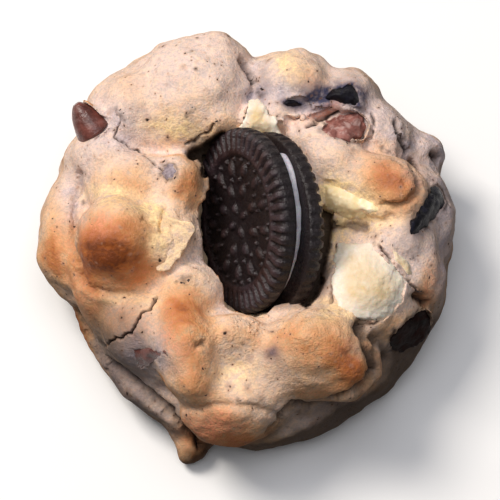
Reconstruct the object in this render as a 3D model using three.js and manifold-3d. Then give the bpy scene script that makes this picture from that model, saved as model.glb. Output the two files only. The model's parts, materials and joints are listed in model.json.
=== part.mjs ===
// Cloud cookie: a tall, lumpy round of baked dough with a small chocolate sandwich biscuit pushed
// into its middle on edge, and chocolate pieces and dark crumbs half sunk into the lobes around it.
// Units are millimetres, +Z is up, and the origin is the middle of the flat base.
import * as THREE from "three";
import { ImprovedNoise } from "three/addons/math/ImprovedNoise.js";
import { mergeVertices } from "three/addons/utils/BufferGeometryUtils.js";
import Module from "manifold-3d";

const wasm = await Module();
wasm.setup();
const perlin = new ImprovedNoise();
const rad = THREE.MathUtils.degToRad;
const UP = new THREE.Vector3(0, 0, 1);

// Driving dimensions
const CORE_MIDDLE = [0.8, -0.4, 8]; // the plain core, the lobes stand about 3 mm proud of it
const CORE_SIZE = [26.8, 26.8, 13.6];
const LOBE_BLEND = 1.7; // how softly two lobes run into each other
const SIDE_BLEND = 5; // and the lumps of the side wall, which flow together
const GAP = 0.3; // air between a sunk piece and the dough
const HEART_HEIGHT = 4; // the disc inside the dough that its skin is worked out from
const HEART_RADIUS = 16;
const SKIN_DETAIL = 17;
const FAR_OUT = 44; // a start well outside the dough
const CRUST_LUMP_SIZE = 5.2; // small unevenness on top of the lobes
const CRUST_LUMP_HEIGHT = 0.34;

const BISCUIT_RADIUS = 13.75;
const WAFER_THICKNESS = 2.7;
const CREAM_THICKNESS = 1.7;
const CREAM_RADIUS = 12.2;
const BISCUIT_CENTRE = new THREE.Vector3(1.25, 1.0, 18.5);
const FACE_AZIMUTH = rad(193.5); // the way the shown wafer looks, turned from +X
const FACE_ELEVATION = rad(26.4); // and how far it looks up
const HOLE_LEAN = rad(20); // the hole opens up and towards the front
const RIB_COUNT = 48;
const RIB_HEIGHT = 0.5;
const SCALLOP = 0.22; // how far the ribs stand out at the wafer's edge
const BEAD_HEIGHT = 0.45;
// Rings of low beads on the shown face: ring radius, number, and half length and width of a bead
const BEAD_RINGS = [
  { ring: 7.8, count: 13, long: 1.25, wide: 0.75 },
  { ring: 4.7, count: 8, long: 1.0, wide: 0.8 },
  { ring: 1.9, count: 4, long: 0.85, wide: 0.65 },
];

// The dough's lobes: middle, half sizes along, across and up, and turn about +Z in degrees.
const LOBES = {
  palePillow: { at: [-8.4, 20.6, 13.8], size: [11.6, 10.6, 13.2], turn: 18 },
  palePillowLeft: { at: [-17.0, 18.2, 12.2], size: [8.6, 8.0, 12.6], turn: 40 },
  palePillowBack: { at: [-5.0, 26.0, 13.6], size: [6.0, 5.8, 11.2], turn: 0 },
  paleBackLeft: { at: [-14.8, 22.2, 10.8], size: [8.4, 7.0, 10.4], turn: 30 },
  palePillowLip: { at: [-4.0, 15.4, 18.0], size: [4.2, 3.4, 6.2], turn: 10 },
  backSeam: { at: [3.4, 23.2, 11.4], size: [5.0, 6.4, 11.6], turn: 0 },
  backRight: { at: [7.4, 22.0, 13.4], size: [7.2, 7.2, 12.4], turn: -12 },
  backRightDark: { at: [14.8, 20.2, 12.0], size: [6.4, 6.8, 11.4], turn: -30 },
  slotLip: { at: [11.0, 13.0, 17.6], size: [5.6, 3.2, 6.4], turn: -10 },
  rightShoulder: { at: [19.6, 15.0, 10.6], size: [7.0, 6.2, 11.0], turn: -50 },
  rightKnob: { at: [25.9, 13.4, 11.4], size: [4.4, 3.9, 5.4], turn: 30 },
  rightToastedDome: { at: [20.8, 5.2, 19.0], size: [7.0, 5.2, 6.2], turn: -26 },
  rightPaleRoll: { at: [13.4, 9.2, 17.6], size: [6.8, 4.2, 6.8], turn: -38 },
  rightCrown: { at: [22.0, -2.8, 15.4], size: [6.2, 5.2, 7.2], turn: 15 },
  rightHaunch: { at: [26.0, 4.6, 9.6], size: [5.6, 8.8, 9.4], turn: 5 },
  rightFlank: { at: [24.4, -6.6, 10.2], size: [5.6, 6.4, 9.8], turn: -10 },
  chunkBed: { at: [16.8, -10.8, 11.8], size: [9.4, 8.4, 12.6], turn: 20 },
  frontRightPillow: { at: [9.8, -19.6, 17.4], size: [8.8, 6.6, 9.2], turn: 4 },
  frontRightBrow: { at: [14.6, -21.6, 18.2], size: [4.8, 4.6, 6.6], turn: 35 },
  frontInnerRim: { at: [-1.6, -18.2, 16.8], size: [6.6, 4.4, 7.6], turn: -8 },
  frontValley: { at: [1.4, -22.6, 13.4], size: [8.2, 5.8, 8.2], turn: 0 },
  frontRidge: { at: [-8.8, -19.4, 19.0], size: [4.8, 8.6, 7.0], turn: 14 },
  frontToastedRoll: { at: [-1.6, -26.2, 14.0], size: [8.4, 5.4, 7.2], turn: 8 },
  leftFrontPale: { at: [-14.8, -15.6, 14.2], size: [6.8, 5.9, 8.6], turn: -40 },
  leftFrontBand: { at: [-21.0, -8.4, 13.6], size: [5.2, 8.2, 8.0], turn: 26 },
  innerFrontLeft: { at: [-8.2, -10.8, 16.6], size: [4.8, 4.8, 7.2], turn: 0 },
  caramelDome: { at: [-19.0, -3.4, 20.4], size: [6.4, 7.0, 8.4], turn: 0 },
  caramelSkirt: { at: [-12.6, -2.8, 15.0], size: [6.4, 7.0, 10.8], turn: 0 },
  leftCrown: { at: [-17.4, 5.8, 16.4], size: [7.0, 5.8, 8.2], turn: 20 },
  innerLeft: { at: [-10.4, 5.6, 17.0], size: [4.6, 5.6, 8.2], turn: 0 },
  leftShoulder: { at: [-21.8, 10.4, 11.4], size: [6.2, 7.0, 11.4], turn: 20 },
  leftFlange: { at: [-26.6, 0.8, 10.8], size: [5.2, 9.2, 8.0], turn: 0 },
  foot: { at: [-8.2, -27.2, 2.0], size: [3.0, 4.6, 3.4], turn: -8 },
  footRoot: { at: [-8.4, -23.0, 5.0], size: [4.8, 5.6, 6.8], turn: 0 },
};
// Lumps low on the side wall, all the way round, on a ring that is widest towards the right front
const SIDE_LUMPS = 22;
const SIDE_LUMP_SIZE = 5.5;
const SIDE_LUMP_Z = 5.2;
const SIDE_RING = 23.0;
const SIDE_RING_SWELL = 1.5;
const SIDE_RING_SWELL_ANGLE = rad(-40);
// Where the wall lies further in: at the lower left and, less so, at the lower right
const LEDGES = [
  { angle: 220, spread: 26, inset: 1.8 },
  { angle: 326, spread: 22, inset: 1.5 },
];

// Jagged splits in the crust, as plan points. The height comes from the surface below them.
const SPLITS = {
  back: { path: [[0.4, 28.6], [-0.2, 26.0], [1.2, 22.6], [2.4, 18.6]], width: 2.2, depth: 6 },
  frontLeft: { path: [[-20.4, -16.6], [-18.6, -14.6], [-16.6, -14.0], [-15.2, -11.6],
    [-13.6, -9.6]], width: 0.9, depth: 2.6 },
  aboveMilkChunk: { path: [[7.6, 15.8], [10.2, 15.6], [12.4, 16.6], [15.4, 16.4]],
    width: 1.5, depth: 3.4 },
};

const COLOURS = {
  dough: 0xe0bd9c,
  cocoaWafer: 0x33272a,
  cream: 0xe6e4e8,
  milkChocolate: 0x7b4a42,
  whiteChocolate: 0xf0e2c6,
  darkCrumb: 0x2c2a33,
};

// Solids and meshes

/** The geometry with positions alone, where corners at one place are one point. */
function weld(geometry) {
  const bare = geometry.index ? geometry.toNonIndexed() : geometry.clone();
  bare.deleteAttribute("normal");
  bare.deleteAttribute("uv");
  return mergeVertices(bare, 1e-4);
}

/** A manifold-3d solid of a closed three.js geometry, with its faces turned out. */
function solidOf(geometry) {
  const merged = weld(geometry);
  const make = (triVerts) => new wasm.Manifold(new wasm.Mesh({
    numProp: 3, vertProperties: merged.attributes.position.array, triVerts,
  }));
  const corners = new Uint32Array(merged.index.array);
  const made = make(corners);
  return made.volume() > 0 ? made : make(corners.reverse());
}

/** The three.js geometry of a manifold-3d solid. */
function geometryOf(solid) {
  const mesh = solid.getMesh();
  const geometry = new THREE.BufferGeometry();
  geometry.setAttribute("position", new THREE.BufferAttribute(mesh.vertProperties, 3));
  geometry.setIndex(new THREE.BufferAttribute(mesh.triVerts, 1));
  geometry.computeVertexNormals();
  return geometry;
}

/** The biggest body of a solid, without the scraps that cutting leaves. */
function biggestBody(solid) {
  return solid.decompose().reduce((best, body) => (body.volume() > best.volume() ? body : best));
}

function namedMesh(name, geometry, color, roughness) {
  const material = new THREE.MeshStandardMaterial({ color, roughness, metalness: 0 });
  const mesh = new THREE.Mesh(geometry, material);
  mesh.name = name;
  return mesh;
}

/** Rings of equally many points, joined by bands and closed by a fan at each end. */
function ringSolid(rings, firstPole, lastPole) {
  const positions = [];
  const corner = (p) => positions.push(p.x, p.y, p.z);
  const face = (a, b, c) => [a, b, c].forEach(corner);
  const count = rings[0].length;
  for (let i = 0; i < count; i += 1) {
    const j = (i + 1) % count;
    face(firstPole, rings[0][j], rings[0][i]);
    face(lastPole, rings.at(-1)[i], rings.at(-1)[j]);
    for (let k = 0; k + 1 < rings.length; k += 1) {
      face(rings[k][i], rings[k][j], rings[k + 1][j]);
      face(rings[k][i], rings[k + 1][j], rings[k + 1][i]);
    }
  }
  const geometry = new THREE.BufferGeometry();
  geometry.setAttribute("position", new THREE.Float32BufferAttribute(positions, 3));
  return geometry;
}

/** An even ball of directions, each pushed out from its start to the radius that the rules give. */
function starSolid(detail, squash, startOf, radiusAlong) {
  const ball = weld(new THREE.IcosahedronGeometry(1, detail));
  const points = ball.attributes.position;
  const way = new THREE.Vector3();
  for (let i = 0; i < points.count; i += 1) {
    way.fromBufferAttribute(points, i).multiply(squash).normalize();
    const start = startOf(way);
    start.addScaledVector(way, radiusAlong(way, start));
    points.setXYZ(i, start.x, start.y, start.z);
  }
  return ball;
}

/** Noise from -1 to 1, whose lumps are about the given size across. */
const lumps = (x, y, z, size) => perlin.noise(x / size + 11.3, y / size + 5.7, z / size + 3.1);

// The dough

/** About how far a point is from an ellipsoid's skin, negative inside it. */
function lobeDistance(lobe, x, y, z) {
  const [dx, dy, dz] = [x - lobe.at[0], y - lobe.at[1], z - lobe.at[2]];
  const [a, b, c] = lobe.size;
  const [u, v] = [dx * lobe.cos + dy * lobe.sin, dy * lobe.cos - dx * lobe.sin];
  const near = Math.hypot(u / a, v / b, dz / c);
  const slope = Math.hypot(u / (a * a), v / (b * b), dz / (c * c));
  return slope ? (near * (near - 1)) / slope : -Math.min(a, b, c);
}

function softMin(a, b, blend) {
  const h = Math.max(blend - Math.abs(a - b), 0) / blend;
  return Math.min(a, b) - (h * h * blend) / 4;
}

/** How far the side wall is drawn in at an angle, in degrees. */
function insetAt(turn) {
  return LEDGES.reduce((sum, ledge) => {
    const away = (turn - ledge.angle) / ledge.spread;
    return sum + ledge.inset * Math.exp(-away * away);
  }, 0);
}

/** The core and the lumps of the side wall. */
function sideLobes() {
  const lobes = [{ at: CORE_MIDDLE, size: CORE_SIZE, turn: 0 }];
  for (let i = 0; i < SIDE_LUMPS; i += 1) {
    const angle = ((i + 0.5) / SIDE_LUMPS) * 2 * Math.PI;
    const turn = (angle * 180) / Math.PI;
    const sway = Math.sin(i * 2.4);
    const size = SIDE_LUMP_SIZE * (1 + 0.07 * Math.sin(i * 4.1));
    const swell = SIDE_RING_SWELL * Math.cos(angle - SIDE_RING_SWELL_ANGLE);
    const ring = SIDE_RING + swell + 0.4 * sway - insetAt(turn);
    const at = [ring * Math.cos(angle), ring * Math.sin(angle), SIDE_LUMP_Z + 0.8 * sway];
    lobes.push({ at, size: [size, size * 1.2, size], turn });
  }
  return lobes;
}

const turned = (lobe) => ({ ...lobe, cos: Math.cos(rad(lobe.turn)), sin: Math.sin(rad(lobe.turn)) });
const topLobes = Object.values(LOBES).map(turned);
const wallLobes = sideLobes().map(turned);

/** About how far a point is from the soft union of some lobes. */
function unionDistance(lobes, blend, x, y, z) {
  let nearest = lobeDistance(lobes[0], x, y, z);
  for (let i = 1; i < lobes.length; i += 1) {
    nearest = softMin(nearest, lobeDistance(lobes[i], x, y, z), blend);
  }
  return nearest;
}

function doughDistance(x, y, z) {
  const top = unionDistance(topLobes, LOBE_BLEND, x, y, z);
  const wall = unionDistance(wallLobes, SIDE_BLEND, x, y, z);
  return softMin(top, wall, LOBE_BLEND) - CRUST_LUMP_HEIGHT * lumps(x, y, z, CRUST_LUMP_SIZE);
}

/** Walks inwards along a line, from far out, and returns the way along it to the dough's skin. */
function marchIn(origin, way) {
  let along = FAR_OUT;
  for (let step = 0; step < 90; step += 1) {
    const [x, y, z] = [origin.x + way.x * along, origin.y + way.y * along, origin.z + way.z * along];
    const distance = doughDistance(x, y, z);
    if (distance < 0.02) break;
    along -= Math.max(distance * 0.7, 0.03);
  }
  return along;
}

const surfacePoint = (x, y) => new THREE.Vector3(x, y, marchIn(new THREE.Vector3(x, y, 0), UP));

/** The skin as met from a flat disc low in the dough, so that the top is met nearly straight on. */
function doughBody() {
  const squash = new THREE.Vector3(1, 1, 0.95);
  const startOf = (way) => new THREE.Vector3(way.x * HEART_RADIUS, way.y * HEART_RADIUS, HEART_HEIGHT);
  const skin = starSolid(SKIN_DETAIL, squash, startOf, (way, start) => marchIn(start, way));
  const floor = new THREE.BoxGeometry(100, 100, 40).translate(0, 0, -20);
  return solidOf(skin).subtract(solidOf(floor));
}

/** A wedge that follows a jagged path over the crust and comes to an edge below it. */
function splitCutter({ path, width, depth }) {
  const line = path.map(([x, y]) => surfacePoint(x, y));
  const rings = line.map((point, i) => {
    const ahead = line[Math.min(i + 1, line.length - 1)].clone().sub(line[Math.max(i - 1, 0)]);
    const inward = new THREE.Vector3(point.x * 0.4, point.y * 0.4, 6).sub(point).normalize();
    const side = ahead.cross(inward).normalize().multiplyScalar(width / 2);
    const top = point.clone().addScaledVector(inward, -2);
    return [top.clone().add(side), point.clone().addScaledVector(inward, depth), top.clone().sub(side)];
  });
  const middle = (ring) => ring[0].clone().add(ring[1]).add(ring[2]).divideScalar(3);
  const out = (a, b) => middle(a).multiplyScalar(1.3).addScaledVector(middle(b), -0.3);
  return solidOf(ringSolid(rings, out(rings[0], rings[1]), out(rings.at(-1), rings.at(-2))));
}

// The sandwich biscuit, whose own frame has the shown face up and the cream's middle at 0

const faceWay = new THREE.Vector3(
  Math.cos(FACE_ELEVATION) * Math.cos(FACE_AZIMUTH),
  Math.cos(FACE_ELEVATION) * Math.sin(FACE_AZIMUTH),
  Math.sin(FACE_ELEVATION),
);
const rimTopWay = UP.clone().addScaledVector(faceWay, -faceWay.z).normalize();
const rimSideWay = rimTopWay.clone().cross(faceWay);
const biscuitPlace = new THREE.Matrix4().makeBasis(rimSideWay, rimTopWay, faceWay);
biscuitPlace.setPosition(BISCUIT_CENTRE);

/** One wafer, standing on its flat inner face: ribs round the rim, then a raised line and low beads. */
function waferSolid(beadRings) {
  const top = WAFER_THICKNESS;
  const radius = BISCUIT_RADIUS;
  const panel = top - BEAD_HEIGHT; // the flat of the face inside the raised line
  // Each ring: radius and height on a rib, then in the groove beside it
  const profile = [
    [radius - 0.35, 0, radius - 0.35, 0],
    [radius, top / 2, radius - SCALLOP, top / 2],
    [radius - 0.25, top - 0.55, radius - 0.5, top - 0.8],
    [radius - 0.85, top, radius - 0.95, top - RIB_HEIGHT],
    [radius - 3.0, top, radius - 3.0, top - RIB_HEIGHT],
    [radius - 3.4, top - 0.1, radius - 3.4, top - 0.1],
    [radius - 3.9, top - 0.1, radius - 3.9, top - 0.1],
    [radius - 4.1, panel, radius - 4.1, panel],
  ];
  const shown = beadRings.length ? profile : profile.slice(0, 5);
  const rings = shown.map(([ribR, ribZ, grooveR, grooveZ]) => (
    Array.from({ length: RIB_COUNT * 2 }, (_, i) => {
      const angle = (i / RIB_COUNT) * Math.PI;
      const [r, z] = i % 2 ? [grooveR, grooveZ] : [ribR, ribZ];
      return new THREE.Vector3(r * Math.cos(angle), r * Math.sin(angle), z);
    })
  ));
  let wafer = solidOf(ringSolid(rings, new THREE.Vector3(), new THREE.Vector3(0, 0, panel)));
  for (const { ring, count, long, wide } of beadRings) {
    for (let i = 0; i < count; i += 1) {
      const bead = new THREE.SphereGeometry(1, 6, 3).rotateX(Math.PI / 2).scale(long, wide, BEAD_HEIGHT);
      bead.translate(ring, 0, panel).rotateZ((i / count) * 2 * Math.PI);
      wafer = wafer.add(solidOf(bead));
    }
  }
  return wafer;
}

function creamSolid() {
  const half = CREAM_THICKNESS / 2 - GAP;
  const sides = RIB_COUNT;
  const rings = [[-0.5, -half], [0, -half * 0.4], [0, half * 0.4], [-0.5, half]].map(([inset, z]) => (
    Array.from({ length: sides }, (_, i) => {
      const angle = (i / sides) * 2 * Math.PI;
      const r = CREAM_RADIUS + inset + 0.35 * Math.sin(angle * 3 + 1) + 0.15 * Math.sin(angle * 7);
      return new THREE.Vector3(r * Math.cos(angle), r * Math.sin(angle), z);
    })
  ));
  return solidOf(ringSolid(rings, new THREE.Vector3(0, 0, -half), new THREE.Vector3(0, 0, half)));
}

/** The plain puck that the whole biscuit fits in, with air round it. */
function biscuitRoom(air) {
  const radius = BISCUIT_RADIUS + air;
  const half = CREAM_THICKNESS / 2 + WAFER_THICKNESS + air;
  const profile = [[0, -half], [radius - 0.5, -half], [radius, 1.2 - half], [radius, half - 1.2],
    [radius - 0.5, half], [0, half]].map(([r, z]) => new THREE.Vector2(r, z));
  return solidOf(new THREE.LatheGeometry(profile, 48).rotateX(Math.PI / 2).applyMatrix4(biscuitPlace));
}

/** How much wider than the biscuit the hole's mouth is, by the angle round the shown face. */
function mouthMargin(angle) {
  const near = (degrees, spread) => {
    const off = (((angle * 180) / Math.PI - degrees + 540) % 360) - 180;
    return Math.exp(-((off / spread) ** 2));
  };
  return 0.5 + 1.3 * near(2, 26) + 2.4 * near(222, 20) + 1.2 * near(318, 26) + 0.5 * near(270, 18);
}

/** The room in front of the shown face: from the face up to the open mouth, with crumbly walls. */
function holeCutter() {
  const mouthWay = new THREE.Vector3(0, -Math.sin(HOLE_LEAN), Math.cos(HOLE_LEAN));
  const sides = 40;
  const aboveAll = 36; // a height above the whole cookie
  const faceCentre = BISCUIT_CENTRE.clone().addScaledVector(faceWay, CREAM_THICKNESS / 2 + 0.4);
  const rings = [0, 0.2, 0.45, 0.72, 1].map((share) => Array.from({ length: sides }, (_, i) => {
    const angle = (i / sides) * 2 * Math.PI;
    const out = rimSideWay.clone().multiplyScalar(Math.cos(angle));
    out.addScaledVector(rimTopWay, Math.sin(angle));
    const foot = faceCentre.clone().addScaledVector(out, BISCUIT_RADIUS + GAP);
    const rise = (aboveAll - foot.z) / mouthWay.z;
    const crumble = share && 0.5 * lumps(foot.x, foot.y, foot.z + share * 9, 3);
    const wall = foot.clone().addScaledVector(mouthWay, rise * share);
    const flat = out.clone().setZ(0).normalize();
    return wall.addScaledVector(flat, mouthMargin(angle) * Math.sqrt(share) + crumble);
  }));
  const middle = (ring) => ring
    .reduce((sum, p) => sum.add(p), new THREE.Vector3())
    .divideScalar(ring.length);
  return solidOf(ringSolid(rings, middle(rings[0]), middle(rings.at(-1))));
}

// Pieces sunk into the dough

/** A broken, half melted nugget: a rounded block with lumps. square is 2 for an egg, more for a block. */
function nugget({ at, size, square = 3, turn = [0, 0, 0], rough = 0.25, detail = 3 }, grow = 0) {
  const [a, b, c] = size;
  const startOf = () => new THREE.Vector3();
  const shape = starSolid(detail, new THREE.Vector3(a, b, c), startOf, (way) => {
    const block = (Math.abs(way.x / a) ** square + Math.abs(way.y / b) ** square
      + Math.abs(way.z / c) ** square) ** (-1 / square);
    return block + grow + rough * lumps(way.x * 6 + at[0], way.y * 6 + at[1], way.z * 6, 2.4);
  });
  const [rx, ry, rz] = turn.map(rad);
  shape.applyMatrix4(new THREE.Matrix4().makeRotationFromEuler(new THREE.Euler(rx, ry, rz)));
  return solidOf(shape.translate(...at));
}

/** A moulded chocolate drop: round foot, curved flank and blunt tip, standing along a way. */
function drop({ at, radius, height, way }, grow = 0) {
  const profile = [new THREE.Vector2(0, -grow)];
  if (grow) profile.push(new THREE.Vector2(radius + grow, -grow));
  const steps = 7;
  for (let i = 0; i <= steps; i += 1) {
    const share = i / steps;
    const r = radius * Math.sqrt(1 - share ** 1.7) * (1 - 0.25 * share);
    if (share < 1) profile.push(new THREE.Vector2(r + grow, height * share));
  }
  profile.push(new THREE.Vector2(0, height + grow));
  const shape = new THREE.LatheGeometry(profile, 20).rotateX(Math.PI / 2);
  const turn = new THREE.Quaternion().setFromUnitVectors(UP, new THREE.Vector3(...way).normalize());
  return solidOf(shape.applyQuaternion(turn).translate(...at));
}

const PIECES = [
  { name: "milk_chip_left", make: drop, color: COLOURS.milkChocolate,
    at: [-22.8, 14.4, 20.2], radius: 3.1, height: 5.4, way: [-0.58, 0.66, 0.48] },
  { name: "milk_chunk_right", make: nugget, color: COLOURS.milkChocolate,
    at: [13.2, 15.0, 21.6], size: [4.6, 2.4, 2.8], square: 2.6, turn: [20, 0, -8], detail: 2 },
  { name: "milk_patch_left", make: nugget, color: COLOURS.milkChocolate,
    at: [-14.2, -20.0, 18.6], size: [2.9, 2.2, 2.2], square: 2.4, turn: [35, -20, 10], detail: 2 },
  { name: "dark_chunk_low", make: nugget, color: COLOURS.milkChocolate,
    at: [24.0, -15.0, 14.2], size: [3.8, 2.8, 3.0], square: 2.6, turn: [0, 0, 34], detail: 2 },
  { name: "white_chunk_right", make: nugget, color: COLOURS.whiteChocolate,
    at: [17.8, -10.2, 20.4], size: [4.6, 5.2, 3.8], square: 4.2, turn: [6, 8, 28], rough: 0.35 },
  { name: "white_chunk_back", make: nugget, color: COLOURS.whiteChocolate,
    at: [2.5, 15.4, 20.4], size: [2.8, 3.2, 4.4], square: 3.2, turn: [12, 0, 10], detail: 2 },
  { name: "white_melt_right", make: nugget, color: COLOURS.whiteChocolate,
    at: [15.0, 3.4, 17.6], size: [6.4, 3.8, 5.0], square: 2.4, turn: [0, 8, -16], rough: 0.5, detail: 2 },
  { name: "cocoa_bit_back", make: nugget, color: COLOURS.darkCrumb,
    at: [13.2, 20.1, 22.5], size: [3.6, 1.9, 2.0], square: 2.8, turn: [10, 14, -24], detail: 2 },
  { name: "cocoa_bit_right", make: nugget, color: COLOURS.darkCrumb,
    at: [26.6, 3.0, 17.4], size: [4.2, 1.8, 2.2], square: 3.2, turn: [0, 10, 54], detail: 2 },
  { name: "cocoa_bit_mouth", make: nugget, color: COLOURS.darkCrumb,
    at: [7.2, 17.2, 23.8], size: [1.7, 1.0, 1.3], square: 2.6, turn: [0, 0, 12], detail: 1 },
];

// Nicks that crumbled off the hole's edge, behind the far wafer
const NICKS = [
  { at: [12.6, -1.6, 24.6], size: [1.8, 2.6, 3.6], square: 2.2, detail: 2 },
  { at: [10.8, -8.4, 23.0], size: [1.9, 2.6, 4.2], square: 2.2, detail: 2 },
];

// Assembly

const cookie = new THREE.Group();

const roomForBiscuit = biscuitRoom(GAP);
let dough = doughBody().subtract(roomForBiscuit).subtract(holeCutter());
for (const split of Object.values(SPLITS)) dough = dough.subtract(splitCutter(split));
for (const nick of NICKS) dough = dough.subtract(nugget(nick));
for (const piece of PIECES) {
  dough = dough.subtract(piece.make(piece, GAP));
  const shape = biggestBody(piece.make(piece).subtract(roomForBiscuit));
  cookie.add(namedMesh(piece.name, geometryOf(shape), piece.color, 0.45));
}
cookie.add(namedMesh("dough", geometryOf(biggestBody(dough)), COLOURS.dough, 0.85));

const biscuit = new THREE.Group();
biscuit.applyMatrix4(biscuitPlace);
const shownWafer = namedMesh("wafer_shown", geometryOf(waferSolid(BEAD_RINGS)), COLOURS.cocoaWafer, 0.7);
shownWafer.position.z = CREAM_THICKNESS / 2;
const sunkWafer = namedMesh("wafer_sunk", geometryOf(waferSolid([])), COLOURS.cocoaWafer, 0.7);
sunkWafer.rotation.x = Math.PI;
sunkWafer.position.z = -CREAM_THICKNESS / 2;
biscuit.add(shownWafer, sunkWafer, namedMesh("cream", geometryOf(creamSolid()), COLOURS.cream, 0.6));
cookie.add(biscuit);

export default cookie;
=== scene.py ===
"""Looks of the cloud cookie: a tall lumpy round of dough with a cocoa sandwich biscuit in its middle.

Pieces are shaped in millimetres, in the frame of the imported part, and brought to metres when they are done.
"""

import json
import logging
import math
from dataclasses import dataclass, field
from enum import Enum
from functools import partial
from typing import Callable, Sequence

import bpy
import numpy as np
from mathutils import Matrix, Vector, noise

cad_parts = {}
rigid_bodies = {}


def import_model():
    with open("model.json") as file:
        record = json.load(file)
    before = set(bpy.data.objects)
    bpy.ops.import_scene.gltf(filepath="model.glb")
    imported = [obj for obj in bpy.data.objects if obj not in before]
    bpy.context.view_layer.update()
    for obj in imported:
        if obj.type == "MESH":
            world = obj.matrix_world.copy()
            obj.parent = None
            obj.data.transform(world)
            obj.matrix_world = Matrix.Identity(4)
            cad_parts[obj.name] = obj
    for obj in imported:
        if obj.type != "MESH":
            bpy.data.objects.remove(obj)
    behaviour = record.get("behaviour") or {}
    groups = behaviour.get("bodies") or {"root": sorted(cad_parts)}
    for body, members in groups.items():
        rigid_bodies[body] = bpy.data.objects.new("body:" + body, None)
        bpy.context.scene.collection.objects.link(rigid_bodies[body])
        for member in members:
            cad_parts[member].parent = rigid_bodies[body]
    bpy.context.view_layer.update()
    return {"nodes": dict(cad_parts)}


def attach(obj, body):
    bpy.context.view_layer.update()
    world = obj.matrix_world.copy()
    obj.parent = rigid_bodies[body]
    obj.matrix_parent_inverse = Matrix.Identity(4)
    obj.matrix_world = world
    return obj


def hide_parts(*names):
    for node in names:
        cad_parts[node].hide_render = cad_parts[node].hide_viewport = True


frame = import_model()

log = logging.getLogger("cloud_cookie")

MM = 0.001
SEED_STRIDE = 13.7  # how far apart the noises of two seeds are read
DOUBLES = 0.0005  # points nearer to each other than this are merged, in millimetres
FACING = (-0.05, 0.4)  # how far skin is turned to the camera where it starts to take paint, and takes it all
LOOK_ELEVATION = math.radians(70.0)  # the photograph looks down at the cookie from the front
LOOK_WAY = np.array([0.0, -math.cos(LOOK_ELEVATION), math.sin(LOOK_ELEVATION)])
LOOK_UP = np.array([0.0, math.sin(LOOK_ELEVATION), math.cos(LOOK_ELEVATION)])
# Turns across, up and towards the camera to X, Y and Z
LOOK_FRAME = Matrix(np.column_stack([(1.0, 0.0, 0.0), LOOK_UP, LOOK_WAY]).tolist()).to_4x4()

Piece = bpy.types.Object
Material = bpy.types.Material
Array = np.ndarray
Place = tuple[float, float, float]
Outline = tuple[tuple[float, float], ...]


# Small tools


def linear(code: str) -> tuple[float, float, float, float]:
    """Turns an sRGB hex colour to linear.

    Args:
        code: The colour, such as "#e0bd9c".

    Returns:
        The linear colour, with an alpha of 1.
    """
    parts = [int(code[i:i + 2], 16) / 255 for i in (1, 3, 5)]
    return (*(p / 12.92 if p <= 0.04045 else ((p + 0.055) / 1.055) ** 2.4 for p in parts), 1.0)


def per_mm(size: float) -> float:
    """The scale at which a texture's features are the given number of millimetres across."""
    return 1.0 / (size * MM)


def step(values: Array, low: float, high: float) -> Array:
    """A smooth step from 0 at low to 1 at high."""
    t = np.clip((values - low) / (high - low), 0.0, 1.0)
    return t * t * (3 - 2 * t)


def noise_at(points: Array, size: float, seed: float) -> Array:
    """Smooth noise at each point.

    Args:
        points: Places in millimetres, one a row.
        size: How wide the noise's lumps are, in millimetres.
        seed: Which of the noises is read.

    Returns:
        A value from about -1 to 1 for each point.
    """
    return np.array([noise.noise(p) for p in (points / size + seed * SEED_STRIDE).tolist()])


def noises_at(points: Array, size: float, *seeds: float) -> Array:
    """Smooth noise of several seeds side by side, a column for each."""
    return np.column_stack([noise_at(points, size, seed) for seed in seeds])


def facing_camera(normals: Array) -> Array:
    """How far skin with these normals faces the photograph's camera, from 0 to 1."""
    return step(normals @ LOOK_WAY, *FACING)


def activate(piece: Piece) -> None:
    """Makes the piece the only selected object and the active one."""
    if bpy.context.object and bpy.context.object.mode != "OBJECT":
        bpy.ops.object.mode_set(mode="OBJECT")
    bpy.ops.object.select_all(action="DESELECT")
    piece.select_set(True)
    bpy.context.view_layer.objects.active = piece


def vectors_of(items: bpy.types.bpy_prop_collection, name: str) -> Array:
    """A vector of each of a mesh's points or faces, one a row."""
    flat = np.empty(len(items) * 3)
    items.foreach_get(name, flat)
    return flat.reshape(-1, 3)


def points_of(piece: Piece) -> Array:
    """The piece's points, one a row."""
    return vectors_of(piece.data.vertices, "co")


def normals_of(piece: Piece) -> Array:
    """The normal at each of the piece's points."""
    return vectors_of(piece.data.vertices, "normal")


def move_points(piece: Piece, points: Array) -> None:
    """Puts the piece's points in new places."""
    piece.data.vertices.foreach_set("co", points.ravel())
    piece.data.update()


def paint(piece: Piece, name: str, values: Array) -> None:
    """Keeps a value for each point under a name that the materials read."""
    layer = piece.data.attributes.get(name) or piece.data.attributes.new(name, "FLOAT", "POINT")
    layer.data.foreach_set("value", values.astype(np.float32))


def painted_on(piece: Piece, name: str) -> Array:
    """The values that are kept under a name, one for each point."""
    values = np.empty(len(piece.data.vertices), dtype=np.float32)
    piece.data.attributes[name].data.foreach_get("value", values)
    return values


def apply_modifier(piece: Piece, kind: str, **settings: object) -> None:
    """Adds a modifier and applies it.

    Args:
        piece: The object that gets it.
        kind: Blender's name for the modifier.
        settings: What is set on it.
    """
    activate(piece)
    modifier = piece.modifiers.new(kind.title(), kind)
    for key, value in settings.items():
        setattr(modifier, key, value)
    bpy.ops.object.modifier_apply(modifier=modifier.name)


def remesh(piece: Piece, voxel: float) -> None:
    """Rebuilds the piece's skin from even squares of the given size."""
    activate(piece)
    piece.data.remesh_voxel_size = voxel
    piece.data.remesh_voxel_adaptivity = 0.0
    bpy.ops.object.voxel_remesh()


def join(pieces: Sequence[Piece]) -> Piece:
    """Joins the pieces to the first one, and returns it."""
    activate(pieces[0])
    for piece in pieces[1:]:
        piece.select_set(True)
    bpy.ops.object.join()
    return pieces[0]


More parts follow.
